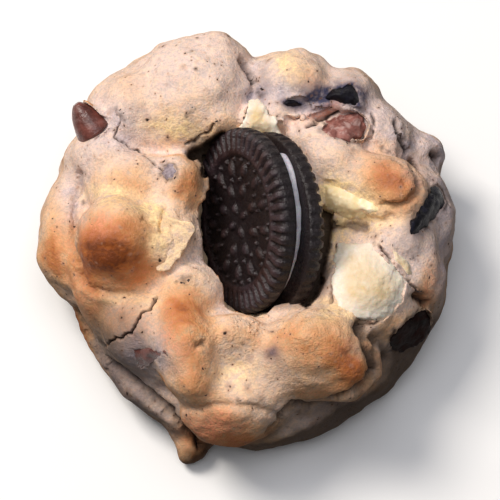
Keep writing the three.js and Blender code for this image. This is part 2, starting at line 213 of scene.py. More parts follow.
def edit_all(piece: Piece) -> None:
    """Opens the piece in edit mode with everything selected."""
    activate(piece)
    bpy.ops.object.mode_set(mode="EDIT")
    bpy.ops.mesh.select_all(action="SELECT")


def edit_chosen(piece: Piece, kind: str, chosen: Array) -> None:
    """Opens the piece in edit mode with only some of its faces or points selected.

    Args:
        piece: The object.
        kind: "FACE" or "VERT".
        chosen: Whether each of its faces or points is selected.
    """
    activate(piece)
    bpy.ops.object.mode_set(mode="EDIT")
    bpy.ops.mesh.select_mode(type=kind)
    bpy.ops.mesh.select_all(action="DESELECT")
    bpy.ops.object.mode_set(mode="OBJECT")
    items = piece.data.polygons if kind == "FACE" else piece.data.vertices
    items.foreach_set("select", chosen)
    bpy.ops.object.mode_set(mode="EDIT")


def leave_edit() -> None:
    """Goes back to object mode, with points as what is selected next."""
    bpy.ops.mesh.select_mode(type="VERT")
    bpy.ops.object.mode_set(mode="OBJECT")


def soften(piece: Piece, times: int) -> None:
    """Smooths the piece's skin the given number of times."""
    edit_all(piece)
    bpy.ops.mesh.vertices_smooth(factor=0.5, repeat=times)
    bpy.ops.object.mode_set(mode="OBJECT")


def close_edit() -> None:
    """Merges doubles, turns the faces out and goes back to object mode."""
    bpy.ops.mesh.select_all(action="SELECT")
    bpy.ops.mesh.remove_doubles(threshold=DOUBLES)
    bpy.ops.mesh.normals_make_consistent(inside=False)
    bpy.ops.object.mode_set(mode="OBJECT")


def merged_copy(node: str, swell: float = 0.0) -> Piece:
    """Copies a CAD node's mesh, with its loose triangles merged.

    Args:
        node: The node's name.
        swell: How far the copy's skin is moved outwards, in millimetres.

    Returns:
        The copy, in millimetres.
    """
    copy = bpy.data.objects.new(f"{node}_copy", frame["nodes"][node].data.copy())
    bpy.context.scene.collection.objects.link(copy)
    copy.data.materials.clear()
    copy.data.transform(Matrix.Scale(1 / MM, 4))
    edit_all(copy)
    close_edit()
    if swell:
        points = points_of(copy)
        middle = (points.min(0) + points.max(0)) / 2
        half = (points.max(0) - points.min(0)) / 2
        move_points(copy, middle + (points - middle) * (1 + swell / half))
    return copy


def seen_plane(points: Array) -> Array:
    """The points as the photograph's camera sees them: across and up, in millimetres."""
    return np.column_stack([points[:, 0], points @ LOOK_UP])


def edges_of(outline: Outline) -> tuple[Array, Array]:
    """The edges of a rounded outline in the plane that the photograph looks at.

    Args:
        outline: Its corners in order.

    Returns:
        The way out across each edge, and how far along it the edge lies.
    """
    corners = np.array(outline)
    ahead = np.roll(corners, -1, 0) - corners
    out = np.column_stack([ahead[:, 1], -ahead[:, 0]]) / np.linalg.norm(ahead, axis=1)[:, None]
    out *= np.sign(((corners - corners.mean(0)) * out).sum(1))[:, None]
    return out, (corners * out).sum(1)


def outside(seen: Array, outline: Outline) -> Array:
    """How far each seen point is outside the outline, negative inside it."""
    out, along = edges_of(outline)
    return (seen @ out.T - along).max(1)


def slab(name: str, outline: Outline, low: float, high: float) -> Piece:
    """Cuts a block to an outline in the plane that the photograph looks at.

    Args:
        name: The new object's name.
        outline: The corners, in order.
        low: Where its back lies, in millimetres towards the camera.
        high: Where its front lies.

    Returns:
        The block, with across, up and towards the camera as its X, Y and Z.
    """
    corners = np.array(outline)
    least, most = corners.min(0) - 1, corners.max(0) + 1
    middle, half = (least + most) / 2, (most - least) / 2
    bpy.ops.object.select_all(action="DESELECT")
    bpy.ops.mesh.primitive_cube_add(size=2.0)
    piece = bpy.context.object
    piece.name = name
    edit_all(piece)
    bpy.ops.transform.resize(value=(half[0], half[1], (high - low) / 2))
    bpy.ops.transform.translate(value=(middle[0], middle[1], (high + low) / 2))
    for way, along in zip(*edges_of(outline)):
        bpy.ops.mesh.select_all(action="SELECT")
        plane = Vector((way[0], way[1], 0.0))
        bpy.ops.mesh.bisect(plane_co=plane * along, plane_no=plane, use_fill=True, clear_outer=True)
    close_edit()
    return piece


def turned_solid(name: str, profile: Sequence[tuple[float, float]], steps: int) -> Piece:
    """Turns a round solid about Z: a circle is extruded ring by ring, and both ends are closed to a point.

    Args:
        name: The new object's name.
        profile: The radius and height of each ring, from the foot up.
        steps: How many points a ring has.

    Returns:
        The solid, in millimetres.
    """
    radius, height = profile[0]
    bpy.ops.object.select_all(action="DESELECT")
    bpy.ops.mesh.primitive_circle_add(vertices=steps, radius=radius, location=(0, 0, 0))
    piece = bpy.context.object
    piece.name = name
    bpy.ops.object.mode_set(mode="EDIT")
    bpy.ops.mesh.select_all(action="SELECT")
    bpy.ops.transform.translate(value=(0, 0, height))
    bpy.ops.mesh.extrude_region_move()
    bpy.ops.mesh.merge(type="CENTER")
    bpy.ops.mesh.select_all(action="DESELECT")
    bpy.ops.object.mode_set(mode="OBJECT")
    for vertex in piece.data.vertices:
        vertex.select = math.hypot(vertex.co.x, vertex.co.y) > radius / 2
    bpy.ops.object.mode_set(mode="EDIT")
    for (r0, z0), (r1, z1) in zip(profile, profile[1:]):
        bpy.ops.mesh.extrude_region_move(TRANSFORM_OT_translate={"value": (0, 0, z1 - z0)})
        bpy.ops.transform.resize(value=(r1 / r0, r1 / r0, 1))
    bpy.ops.mesh.extrude_region_move()
    bpy.ops.mesh.merge(type="CENTER")
    close_edit()
    return piece


def finish_piece(piece: Piece, slot: str, material: Material, *nodes: str) -> None:
    """Brings a piece to metres, dresses it, hangs it on the root body and hides the nodes that it replaces.

    Args:
        piece: The object, whose mesh is in millimetres.
        slot: The record's material slot; not used.
        material: The piece's material.
        nodes: The CAD nodes that it replaces.
    """
    activate(piece)
    bpy.ops.object.transform_apply(location=True, rotation=True, scale=True)
    piece.data.transform(Matrix.Scale(MM, 4))
    piece.data.materials.clear()
    piece.data.materials.append(material)
    bpy.ops.object.shade_smooth()
    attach(piece, "root")
    if nodes:
        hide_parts(*nodes)
    log.info("%s: %d faces", piece.name, len(piece.data.polygons))


def plug(tree: bpy.types.NodeTree, node: bpy.types.Node, inputs: dict[str | int, object]) -> None:
    """Sets or links a node's inputs.

    Args:
        tree: The node tree.
        node: The node.
        inputs: A value, a socket, or a node that stands for its first output in use, for each input.
    """
    for key, value in inputs.items():
        if isinstance(value, bpy.types.Node):
            value = next(output for output in value.outputs if output.enabled)
        if isinstance(value, bpy.types.NodeSocket):
            tree.links.new(value, node.inputs[key])
        else:
            node.inputs[key].default_value = value


def add_node(
    tree: bpy.types.NodeTree,
    kind: str,
    inputs: dict[str | int, object] | None = None,
    stops: Sequence[tuple[float, str]] = (),
    **settings: object,
) -> bpy.types.Node:
    """Adds a shader node with its settings and links.

    Args:
        tree: The node tree.
        kind: The node's type, without the "ShaderNode" that all of them start with.
        inputs: What its inputs are set to or linked with.
        stops: The places and sRGB colours of a colour ramp.
        settings: What is set on the node itself.

    Returns:
        The node.
    """
    made = tree.nodes.new(f"ShaderNode{kind}")
    for key, value in settings.items():
        setattr(made, key, value)
    plug(tree, made, inputs or {})
    for i, (place, colour) in enumerate(stops):
        ramp = made.color_ramp.elements
        stop = ramp[i] if i < 2 else ramp.new(place)
        stop.position = place
        stop.color = linear(colour)
    return made


# Finishes


@dataclass(frozen=True)
class Finish:
    """What every finish shares: a Principled shader and Object coordinates."""

    name: str

    def begin(self) -> tuple[Material, Callable, Callable, bpy.types.NodeSocket]:
        """Starts the material.

        Returns:
            The material, what adds a node to it, what sets its shader's inputs, and the Object coordinates.
        """
        material = bpy.data.materials.new(self.name)
        material.use_nodes = True
        tree = material.node_tree
        add, dress = partial(add_node, tree), partial(plug, tree, tree.nodes["Principled BSDF"])
        return material, add, dress, add("TexCoord").outputs["Object"]


@dataclass(frozen=True)
class BakedDough(Finish):
    """Butter dough baked with cocoa crumbs in it.

    The eye gets a matt sandy skin, pinkish cream where it is pale, golden to caramel where the oven
    browned it, lilac grey where cocoa stained it, with fine dark specks in soft brown haloes. Painted shade
    darkens its low walls, cracks, gaps and recesses, and a painted highlight lies on the caramel dome.
    """

    bakes: tuple[tuple[float, str], ...] = (
        (0.0, "#edd5c8"), (0.16, "#ebcbb0"), (0.34, "#e6b587"), (0.52, "#d6915a"),
        (0.68, "#bb6c34"), (0.84, "#924a15"), (1.0, "#6a320b"),
    )
    ash: str = "#c9bcc1"
    butter: str = "#f5d6a0"
    blush: str = "#d98a68"
    pink: str = "#dfb3a2"
    smear: str = "#45445a"
    # Painted shade colours: wall on low walls, in gaps and recesses; crack in cracks and round sunk pieces,
    # where it also gives the single dark specks
    crack: str = "#2c1b15"
    wall: str = "#352619"
    # Cell size and dot reach of the specks in millimetres, the share of cells with one, core and halo
    specks: tuple[tuple[float, float, float, str, str], ...] = (
        (3.1, 0.32, 0.6, "#2b1f1b", "#9c7562"), (1.5, 0.18, 0.5, "#3a2a24", "#b08d78"),
        (0.9, 0.12, 0.42, "#54362a", "#b98f74"),
    )

    def make(self) -> Material:
        """Builds the material from the values painted on the dough."""
        material, add, dress, where = self.begin()
        painted = {mark: add("Attribute", attribute_name=mark.value).outputs["Fac"] for mark in Mark}
        broad, small, grain, grit = (
            add("TexNoise", {"Vector": where, "Scale": per_mm(size), "Detail": 3.0, "Roughness": 0.62})
            for size in (4.2, 1.2, 0.6, 0.3))

        # The browning is uneven at three sizes, and more so where it is strong
        sway, fray, fleck = (
            add("MapRange", {"Value": worn, 1: 0.25, 2: 0.75, 3: -most, 4: most})
            for worn, most in ((broad, 0.16), (small, 0.12), (grain, 0.1)))
        uneven = add("Math", {0: sway, 1: fray}, operation="ADD")
        uneven = add("Math", {0: uneven, 1: fleck}, operation="ADD")
        room = add("Math", {0: painted[Mark.TOAST], 1: 0.4}, operation="ADD")
        baked = add("Math", {0: uneven, 1: room, 2: painted[Mark.TOAST]},
                    operation="MULTIPLY_ADD", use_clamp=True)
        colour = add("ValToRGB", {"Fac": baked}, stops=self.bakes)

        # The pale skin is mottled yellow and pink, and stains and melted butter cover it in blotches
        pale = add("Math", {0: 1.0, 1: baked}, operation="SUBTRACT", use_clamp=True)
        for worn, most, tint in ((small, 0.3, self.butter), (grain, 0.5, self.pink)):
            mottle = add("MapRange", {"Value": worn, 1: 0.44, 2: 0.7, 4: most})
            mottle = add("Math", {0: mottle, 1: pale}, operation="MULTIPLY")
            colour = add("Mix", {0: mottle, 6: colour, 7: linear(tint)}, data_type="RGBA")
        for mark, worn, low, high, tint in (
            (Mark.ASH, broad, 0.3, 0.62, self.ash), (Mark.BUTTER, small, 0.22, 0.58, self.butter),
            (Mark.BLUSH, grain, 0.2, 0.6, self.blush), (Mark.SMEAR, small, 0.16, 0.52, self.smear),
        ):
            blotch = add("MapRange", {"Value": worn, 1: low, 2: high})
            amount = add("Math", {0: blotch, 1: painted[mark]}, operation="MULTIPLY", use_clamp=True)
            colour = add("Mix", {0: amount, 6: colour, 7: linear(tint)}, data_type="RGBA")

        # Sugar and flour grains; the finest are drawn 0.2 mm wide, about twice their size, to show at all
        for grains, least, most in ((small, 0.9, 1.07), (grain, 0.84, 1.12), (grit, 0.93, 1.08)):
            sandy = add("MapRange", {"Value": grains, 1: 0.3, 2: 0.7, 3: least, 4: most})
            colour = add("VectorMath", {0: colour, "Scale": sandy}, operation="SCALE")

        # Cocoa specks in soft haloes
        wobble = add("TexNoise", {"Vector": where, "Scale": per_mm(0.9), "Detail": 2.0}).outputs["Color"]
        shaken = add("VectorMath", {0: wobble, 1: (0.0007,) * 3, 2: where}, operation="MULTIPLY_ADD")
        pits = None
        for size, reach, share, core, halo in self.specks:
            cells = add("TexVoronoi", {"Vector": shaken, "Scale": per_mm(size)})
            lot = add("SeparateColor", {0: cells.outputs["Color"]})
            odds = add("Math", {0: painted[Mark.SPECKLED], 1: share}, operation="MULTIPLY")
            chosen = add("Math", {0: lot, 1: odds}, operation="LESS_THAN")
            near = reach / size
            for tint, start, end, most in (
                (halo, near * 3.0, near * 0.8, 0.5), (core, near, near * 0.55, 1.0),
            ):
                spot = add("MapRange", {"Value": cells, 1: start, 2: end, 4: most})
                spot = add("Math", {0: spot, 1: chosen}, operation="MULTIPLY")
                colour = add("Mix", {0: spot, 6: colour, 7: linear(tint)}, data_type="RGBA")
            pits = spot if pits is None else add("Math", {0: pits, 1: spot}, operation="ADD")

        # Painted shade: the wall colour on low walls, in gaps, recesses and under overhangs, the crack colour
        # in cracks and round sunk pieces
        for mark, most, tint in ((Mark.WALL, 0.9, self.wall), (Mark.CRACK, 1.0, self.crack)):
            amount = add("Math", {0: painted[mark], 1: most}, operation="MULTIPLY")
            colour = add("Mix", {0: amount, 6: colour, 7: linear(tint)}, data_type="RGBA")

        # Dry where it is bare, and shiny where sugar or chocolate melted on it
        gloss = add("MapRange", {"Value": painted[Mark.GLAZE], 3: 0.72, 4: 0.34})
        gloss = add("Math", {0: small, 1: 0.16, 2: gloss}, operation="MULTIPLY_ADD")

        relief = add("Math", {0: small, 1: 0.7, 2: grain}, operation="MULTIPLY_ADD")
        relief = add("Math", {0: grit, 1: 0.5, 2: relief}, operation="MULTIPLY_ADD")
        rough = add("Math", {0: painted[Mark.CRUMBLY], 1: 0.4}, operation="ADD")
        relief = add("Math", {0: relief, 1: rough}, operation="MULTIPLY")
        relief = add("Math", {0: pits, 1: -0.4, 2: relief}, operation="MULTIPLY_ADD")
        bump = add("Bump", {"Height": relief, "Strength": 0.5, "Distance": 0.0004})
        dress({"Base Color": colour, "Roughness": gloss, "Normal": bump, "Specular IOR Level": 0.22,
               "Subsurface Weight": 0.06, "Subsurface Radius": (1.0, 0.45, 0.25), "Subsurface Scale": 0.0008})
        return material


@dataclass(frozen=True)
class CocoaWafer(Finish):
    """Black cocoa wafer, moulded and baked dry.

    The eye gets a near black brown with a soft sheen and fine pores, with painted light on the raised pattern
    and painted shade in its hollows.
    """

    # Painted light and shade: raised colours the raised pattern, deep its hollows
    raised: str = "#44343a"
    deep: str = "#0f090b"
    warm: str = "#3f2826"

    def make(self) -> Material:
        """Builds the material."""
        material, add, dress, where = self.begin()
        small, pores, broad = (
            add("TexNoise", {"Vector": where, "Scale": per_mm(size), "Detail": detail})
            for size, detail in ((1.3, 4.0), (0.32, 3.0), (7.0, 2.0)))
        # Painted light on the raised pattern and painted shade in its hollows, by how far each point stands
        # up
        height = add("Attribute", attribute_name="raised").outputs["Fac"]
        warmth = add("MapRange", {"Value": broad, 1: 0.4, 2: 0.65})
        tint = add("Mix", {0: warmth, 6: linear(self.raised), 7: linear(self.warm)}, data_type="RGBA")
        lit = add("Math", {0: height, 1: small, 2: 0.12}, operation="MULTIPLY_ADD")
        colour = add("Mix", {0: lit, 6: linear(self.deep), 7: tint}, data_type="RGBA")
        gloss = add("MapRange", {"Value": small, 1: 0.3, 2: 0.7, 3: 0.32, 4: 0.58})
        relief = add("Math", {0: pores, 1: small}, operation="ADD")
        bump = add("Bump", {"Height": relief, "Strength": 0.8, "Distance": 0.00026})
        dress({"Base Color": colour, "Roughness": gloss, "Specular IOR Level": 0.45, "Normal": bump})
        return material


@dataclass(frozen=True)
class Confection(Finish):
    """Chocolate, cream or crumb: two tones, blotches, a bloom of a third, and a soft or dry surface.

    The eye gets a close smooth body in blotches of two tones, and dull dusty patches.
    """

    tone: str
    shade: str
    bloom: str
    bloom_share: float
    roughness: tuple[float, float]
    blotch: float = 2.2  # how wide the blotches are, in millimetres
    pores: float = 0.5  # how wide the pores are, in millimetres
    glow: float = 0.0
    specular: float = 0.5
    centre: str = ""  # the colour of its melted middle, if that has one of its own

    def make(self) -> Material:
        """Builds the material."""
        material, add, dress, where = self.begin()
        broad, fine, dust = (
            add("TexNoise", {"Vector": where, "Scale": per_mm(size), **inputs})
            for size, inputs in ((self.blotch, {"Detail": 4.0, "Roughness": 0.6}),
                                 (self.pores, {"Detail": 3.0, "Roughness": 0.65}),
                                 (self.blotch * 0.7, {"Detail": 5.0, "Distortion": 0.6})))
        blot = add("MapRange", {"Value": broad, 1: 0.36, 2: 0.64})
        colour = add("Mix", {0: blot, 6: linear(self.shade), 7: linear(self.tone)}, data_type="RGBA")
        dusty = add("MapRange", {"Value": dust, 1: 0.52, 2: 0.66, 4: self.bloom_share})
        colour = add("Mix", {0: dusty, 6: colour, 7: linear(self.bloom)}, data_type="RGBA")
        if self.centre:
            melted = add("Attribute", attribute_name="centre").outputs["Fac"]
            patchy = add("MapRange", {"Value": broad, 1: 0.36, 2: 0.64, 3: 0.35})
            melted = add("Math", {0: melted, 1: patchy}, operation="MULTIPLY")
            colour = add("Mix", {0: melted, 6: colour, 7: linear(self.centre)}, data_type="RGBA")
        least, most = self.roughness
        gloss = add("MapRange", {"Value": dust, 1: 0.35, 2: 0.65, 3: least, 4: most})
        relief = add("Math", {0: fine, 1: dust}, operation="ADD")
        bump = add("Bump", {"Height": relief, "Strength": 0.5, "Distance": 0.00022})
        dress({"Base Color": colour, "Roughness": gloss, "Normal": bump, "Specular IOR Level": self.specular,
               "Subsurface Weight": self.glow, "Subsurface Scale": 0.0012})
        return material


DOUGH_FINISH = BakedDough("baked_butter_dough")
WAFER_FINISH = CocoaWafer("black_cocoa_wafer")
CREAM_FINISH = Confection(
    "vanilla_cream", tone="#f1eef2", shade="#d9d5df", bloom="#9d96a4", bloom_share=0.4,
    roughness=(0.35, 0.6), glow=0.15)
MILK_FINISH = Confection(
    "milk_chocolate", tone="#78453c", shade="#4c2923", bloom="#a5827c", bloom_share=0.2,
    roughness=(0.22, 0.42))
BLOOMED_FINISH = Confection(
    "bloomed_milk_chocolate", tone="#a06a60", shade="#6e4039", bloom="#c9aaa2", bloom_share=0.6, blotch=1.6,
    roughness=(0.4, 0.6))
DARK_FINISH = Confection(
    "dark_chocolate", tone="#1f0e0a", shade="#0b0504", bloom="#3c1c17", bloom_share=0.3,
    roughness=(0.6, 0.8), specular=0.06)
WHITE_FINISH = Confection(
    "white_chocolate", tone="#f3e9d8", shade="#ebdcc4", bloom="#faf4ea", bloom_share=0.6,
    roughness=(0.5, 0.7), glow=0.12, specular=0.3, centre="#dcbf8e")
MELT_FINISH = Confection(
    "melted_white_chocolate", tone="#f7e3b8", shade="#ecd29a", bloom="#fbf1dc", bloom_share=0.6,
    roughness=(0.3, 0.5), glow=0.12)
CRUMB_FINISH = Confection(
    "black_cocoa_crumb", tone="#15131b", shade="#08070b", bloom="#33344a", bloom_share=0.2, blotch=1.4,
    roughness=(0.36, 0.56), pores=0.3, specular=0.18)
GREY_FINISH = Confection(
    "grey_cocoa_crumb", tone="#a3959b", shade="#6a5d64", bloom="#c4b8bd", bloom_share=0.6, blotch=1.0,
    roughness=(0.6, 0.8), pores=0.3, specular=0.2)
SPECK_FINISH = Confection(
    "brown_cocoa_speck", tone="#3a2923", shade="#1e1411", bloom="#6a5048", bloom_share=0.3, blotch=1.4,
    roughness=(0.5, 0.7), pores=0.3)


# The dough


@dataclass(frozen=True)
class Lobe:
    """One swelling of the dough: its middle, half sizes along, across and up, and turn in degrees."""

    at: Place
    size: Place
    turn: float = 0.0


CORE = Lobe((0.8, -0.4, 8.0), (26.8, 26.8, 13.6))
LOBES: dict[str, Lobe] = {
    "pale_pillow": Lobe((-8.4, 20.6, 13.8), (11.6, 10.6, 13.2), 18),
    "pale_pillow_left": Lobe((-17.0, 18.2, 12.2), (8.6, 8.0, 12.6), 40),
    "pale_pillow_back": Lobe((-5.0, 26.0, 13.6), (6.0, 5.8, 11.2), 0),
    "pale_back_left": Lobe((-14.8, 22.2, 10.8), (8.4, 7.0, 10.4), 30),
    "pale_pillow_lip": Lobe((-4.0, 15.4, 18.0), (4.2, 3.4, 6.2), 10),
    "back_seam": Lobe((3.4, 23.2, 11.4), (5.0, 6.4, 11.6), 0),
    "nub_side": Lobe((4.6, 17.2, 20.5), (3.0, 2.7, 3.0), 0),
    "back_right": Lobe((7.4, 22.0, 13.4), (7.2, 7.2, 12.4), -12),
    "back_right_dark": Lobe((14.8, 20.2, 12.0), (6.4, 6.8, 11.4), -30),
    "slot_lip": Lobe((11.0, 13.0, 17.6), (5.6, 3.2, 6.4), -10),
    "right_shoulder": Lobe((19.6, 15.0, 10.6), (7.0, 6.2, 11.0), -50),
    "right_knob": Lobe((25.9, 13.4, 11.4), (4.4, 3.9, 5.4), 30),
    "right_toasted_dome": Lobe((20.8, 5.2, 19.0), (7.0, 5.2, 6.2), -26),
    "right_pale_roll": Lobe((13.4, 9.2, 17.6), (6.8, 4.2, 6.8), -38),
    "right_crown": Lobe((22.0, -2.8, 15.4), (6.2, 5.2, 7.2), 15),
    "right_haunch": Lobe((26.0, 4.6, 9.6), (5.6, 8.8, 9.4), 5),
    "right_flank": Lobe((24.4, -6.6, 10.2), (5.6, 6.4, 9.8), -10),
    "chunk_bed": Lobe((16.8, -10.8, 11.8), (9.4, 8.4, 12.6), 20),
    "front_right_pillow": Lobe((9.8, -19.6, 17.4), (8.8, 6.6, 9.2), 4),
    "front_right_brow": Lobe((14.6, -21.6, 18.2), (4.8, 4.6, 6.6), 35),
    "front_inner_rim": Lobe((-1.6, -18.2, 16.8), (6.6, 4.4, 7.6), -8),
    "front_valley": Lobe((1.4, -22.6, 13.4), (8.2, 5.8, 8.2), 0),
    "front_ridge": Lobe((-8.8, -19.4, 19.0), (4.8, 8.6, 7.0), 14),
    "front_toasted_roll": Lobe((-1.6, -26.2, 14.0), (8.4, 5.4, 7.2), 8),
    "left_front_pale": Lobe((-14.8, -15.6, 14.2), (6.8, 5.9, 8.6), -40),
    "left_front_band": Lobe((-21.0, -8.4, 13.6), (5.2, 8.2, 8.0), 26),
    "inner_front_left": Lobe((-8.2, -10.8, 16.6), (4.8, 4.8, 7.2), 0),
    "caramel_dome": Lobe((-19.0, -3.4, 20.4), (6.4, 7.0, 8.4), 0),
    "caramel_skirt": Lobe((-12.6, -2.8, 15.0), (6.4, 7.0, 10.8), 0),
    "left_crown": Lobe((-17.4, 5.8, 16.4), (7.0, 5.8, 8.2), 20),
    "inner_left": Lobe((-10.4, 5.6, 17.0), (4.6, 5.6, 8.2), 0),
    "left_shoulder": Lobe((-21.8, 10.4, 11.4), (6.2, 7.0, 11.4), 20),
    "left_flange": Lobe((-26.6, 0.8, 10.8), (5.2, 9.2, 8.0), 0),
    "foot": Lobe((-8.2, -27.2, 2.0), (3.0, 4.6, 3.4), -8),
    "foot_root": Lobe((-8.4, -23.0, 5.0), (4.8, 5.6, 6.8), 0),
}


def side_lumps(count: int = 22, size: float = 5.5, height: float = 5.2, ring: float = 23.0) -> list[Lobe]:
    """The lumps low on the side wall, all the way round, close enough to flow together.

    Args:
        count: How many there are.
        size: About their half size, in millimetres.
        height: About how high their middles are.
        ring: The radius of the ring that they stand on, which swells towards the right front.

    Returns:
        The lumps.
    """
    made = []
    for i in range(count):
        angle = (i + 0.5) / count * math.tau
        sway = math.sin(i * 2.4)
        half = size * (1 + 0.07 * math.sin(i * 4.1))
        # The wall lies further in at the lower left and, less so, at the lower right
        drawn_in = sum(inset * math.exp(-((math.degrees(angle) - at) / spread) ** 2)
                       for at, spread, inset in ((220, 26, 1.8), (326, 22, 1.5)))
        out = ring + 1.5 * math.cos(angle + math.radians(40)) + 0.4 * sway - drawn_in
        middle = (out * math.cos(angle), out * math.sin(angle), height + 0.8 * sway)
        made.append(Lobe(middle, (half, half * 1.2, half), math.degrees(angle)))
    return made


@dataclass
class LobeField:
    """How far a point is from the soft union of the lobes, negative inside it."""

    blend: float = 1.8
    wide_blend: float = 5.0
    tops: list[Lobe] = field(default_factory=lambda: list(LOBES.values()))
    sides: list[Lobe] = field(default_factory=lambda: [CORE, *side_lumps()])

    @staticmethod
    def drift(points: Array) -> Array:
        """How far the dough's forms wander from true lobes at each point."""
        wide, close = noises_at(points, 8.0, 91.0, 92.0, 93.0), noises_at(points, 3.2, 94.0, 95.0, 96.0)
        return 0.55 * wide + 0.4 * close

    @staticmethod
    def union(points: Array, lobes: Sequence[Lobe], blend: float) -> Array:
        """The distance to the soft union of some lobes.

        Args:
            points: The places, in millimetres.
            lobes: The lobes.
            blend: How far apart two lobes' skins still flow together, in millimetres.

        Returns:
            The distance of each point.
        """
        nearest = np.full(len(points), 1e3)
        for lobe in lobes:
            dx, dy, dz = (points - np.array(lobe.at)).T
            cos, sin = math.cos(math.radians(lobe.turn)), math.sin(math.radians(lobe.turn))
            u, v = dx * cos + dy * sin, dy * cos - dx * sin
            a, b, c = lobe.size
            near = np.sqrt((u / a) ** 2 + (v / b) ** 2 + (dz / c) ** 2)
            slope = np.sqrt((u / a**2) ** 2 + (v / b**2) ** 2 + (dz / c**2) ** 2) + 1e-9
            row = near * (near - 1) / slope
            h = np.maximum(blend - np.abs(nearest - row), 0) / blend
            nearest = np.minimum(nearest, row) - h * h * blend / 4
        return nearest

    def skin(self, points: Array) -> Array:
        """The distance to the soft union of all the lobes."""
        tops = self.union(points, self.tops, self.blend)
        sides = self.union(points, self.sides, self.wide_blend)
        h = np.maximum(self.blend - np.abs(tops - sides), 0) / self.blend
        return np.minimum(tops, sides) - h * h * self.blend / 4

    def pull(self, points: Array, normals: Array, reach: float, nudge: float = 0.05) -> Array:
        """Moves points near the skin onto it, where they face its way.

        Args:
            points: The places, in millimetres.
            normals: The normals there.
            reach: How deep inside the skin a point is still moved.
            nudge: How far off the skin's distance is read to find its slope, in millimetres.

        Returns:
            The new places. Points deep inside, such as those of the hole, and of the base stay.
        """
        moved = points.copy()
        drift = self.drift(points)
        share = step(points[:, 2], 0.1, 0.8)
        for turn in range(3):
            here = self.skin(moved + drift)
            slope = np.column_stack([
                self.skin(moved + drift + way * nudge) - here for way in np.eye(3)]) / nudge
            slope /= np.maximum((slope**2).sum(1), 0.25)[:, None]
            if turn == 0:
                share = share * step((slope * normals).sum(1), 0.2, 0.6)
                share = share * step(here, -reach * 1.4, -reach * 0.9)
            moved -= slope * (np.clip(here, -reach, 2.0) * share)[:, None]
        return moved


class Mark(Enum):
    """What is painted on the dough. The value is the name that the material reads."""

    TOAST = "toast"
    # lilac cocoa stain, and a painted highlight on the caramel dome
    ASH = "ash"
    BUTTER = "butter"
    BLUSH = "blush"
    # blue grey cocoa smears, and painted shade at the right edge and lower left
    SMEAR = "smear"
    GLAZE = "glaze"
    CRUMBLY = "crumbly"
    # painted shade in cracks and along the broken line round sunk pieces, and single dark specks
    CRACK = "crack"
    SPECKLED = "speckled"
    # painted shade on low steep walls, in gaps, in the hole, in recesses and under overhangs
    WALL = "wall"


@dataclass(frozen=True)
class Patch:
    """A soft blot of one mark. Its place and half sizes are in the plane that the photograph looks at."""

    mark: Mark
    at: tuple[float, float]
    size: tuple[float, float]
    amount: float
    turn: float = 0.0

    def weight(self, seen: Array) -> Array:
        """How strong the blot is at each seen point, before its amount."""
        cos, sin = math.cos(math.radians(self.turn)), math.sin(math.radians(self.turn))
        dx, dy = (seen - np.array(self.at)).T
        along, across = (dx * cos + dy * sin) / self.size[0], (dy * cos - dx * sin) / self.size[1]
        return np.exp(-((along**2 + across**2) ** 1.15))


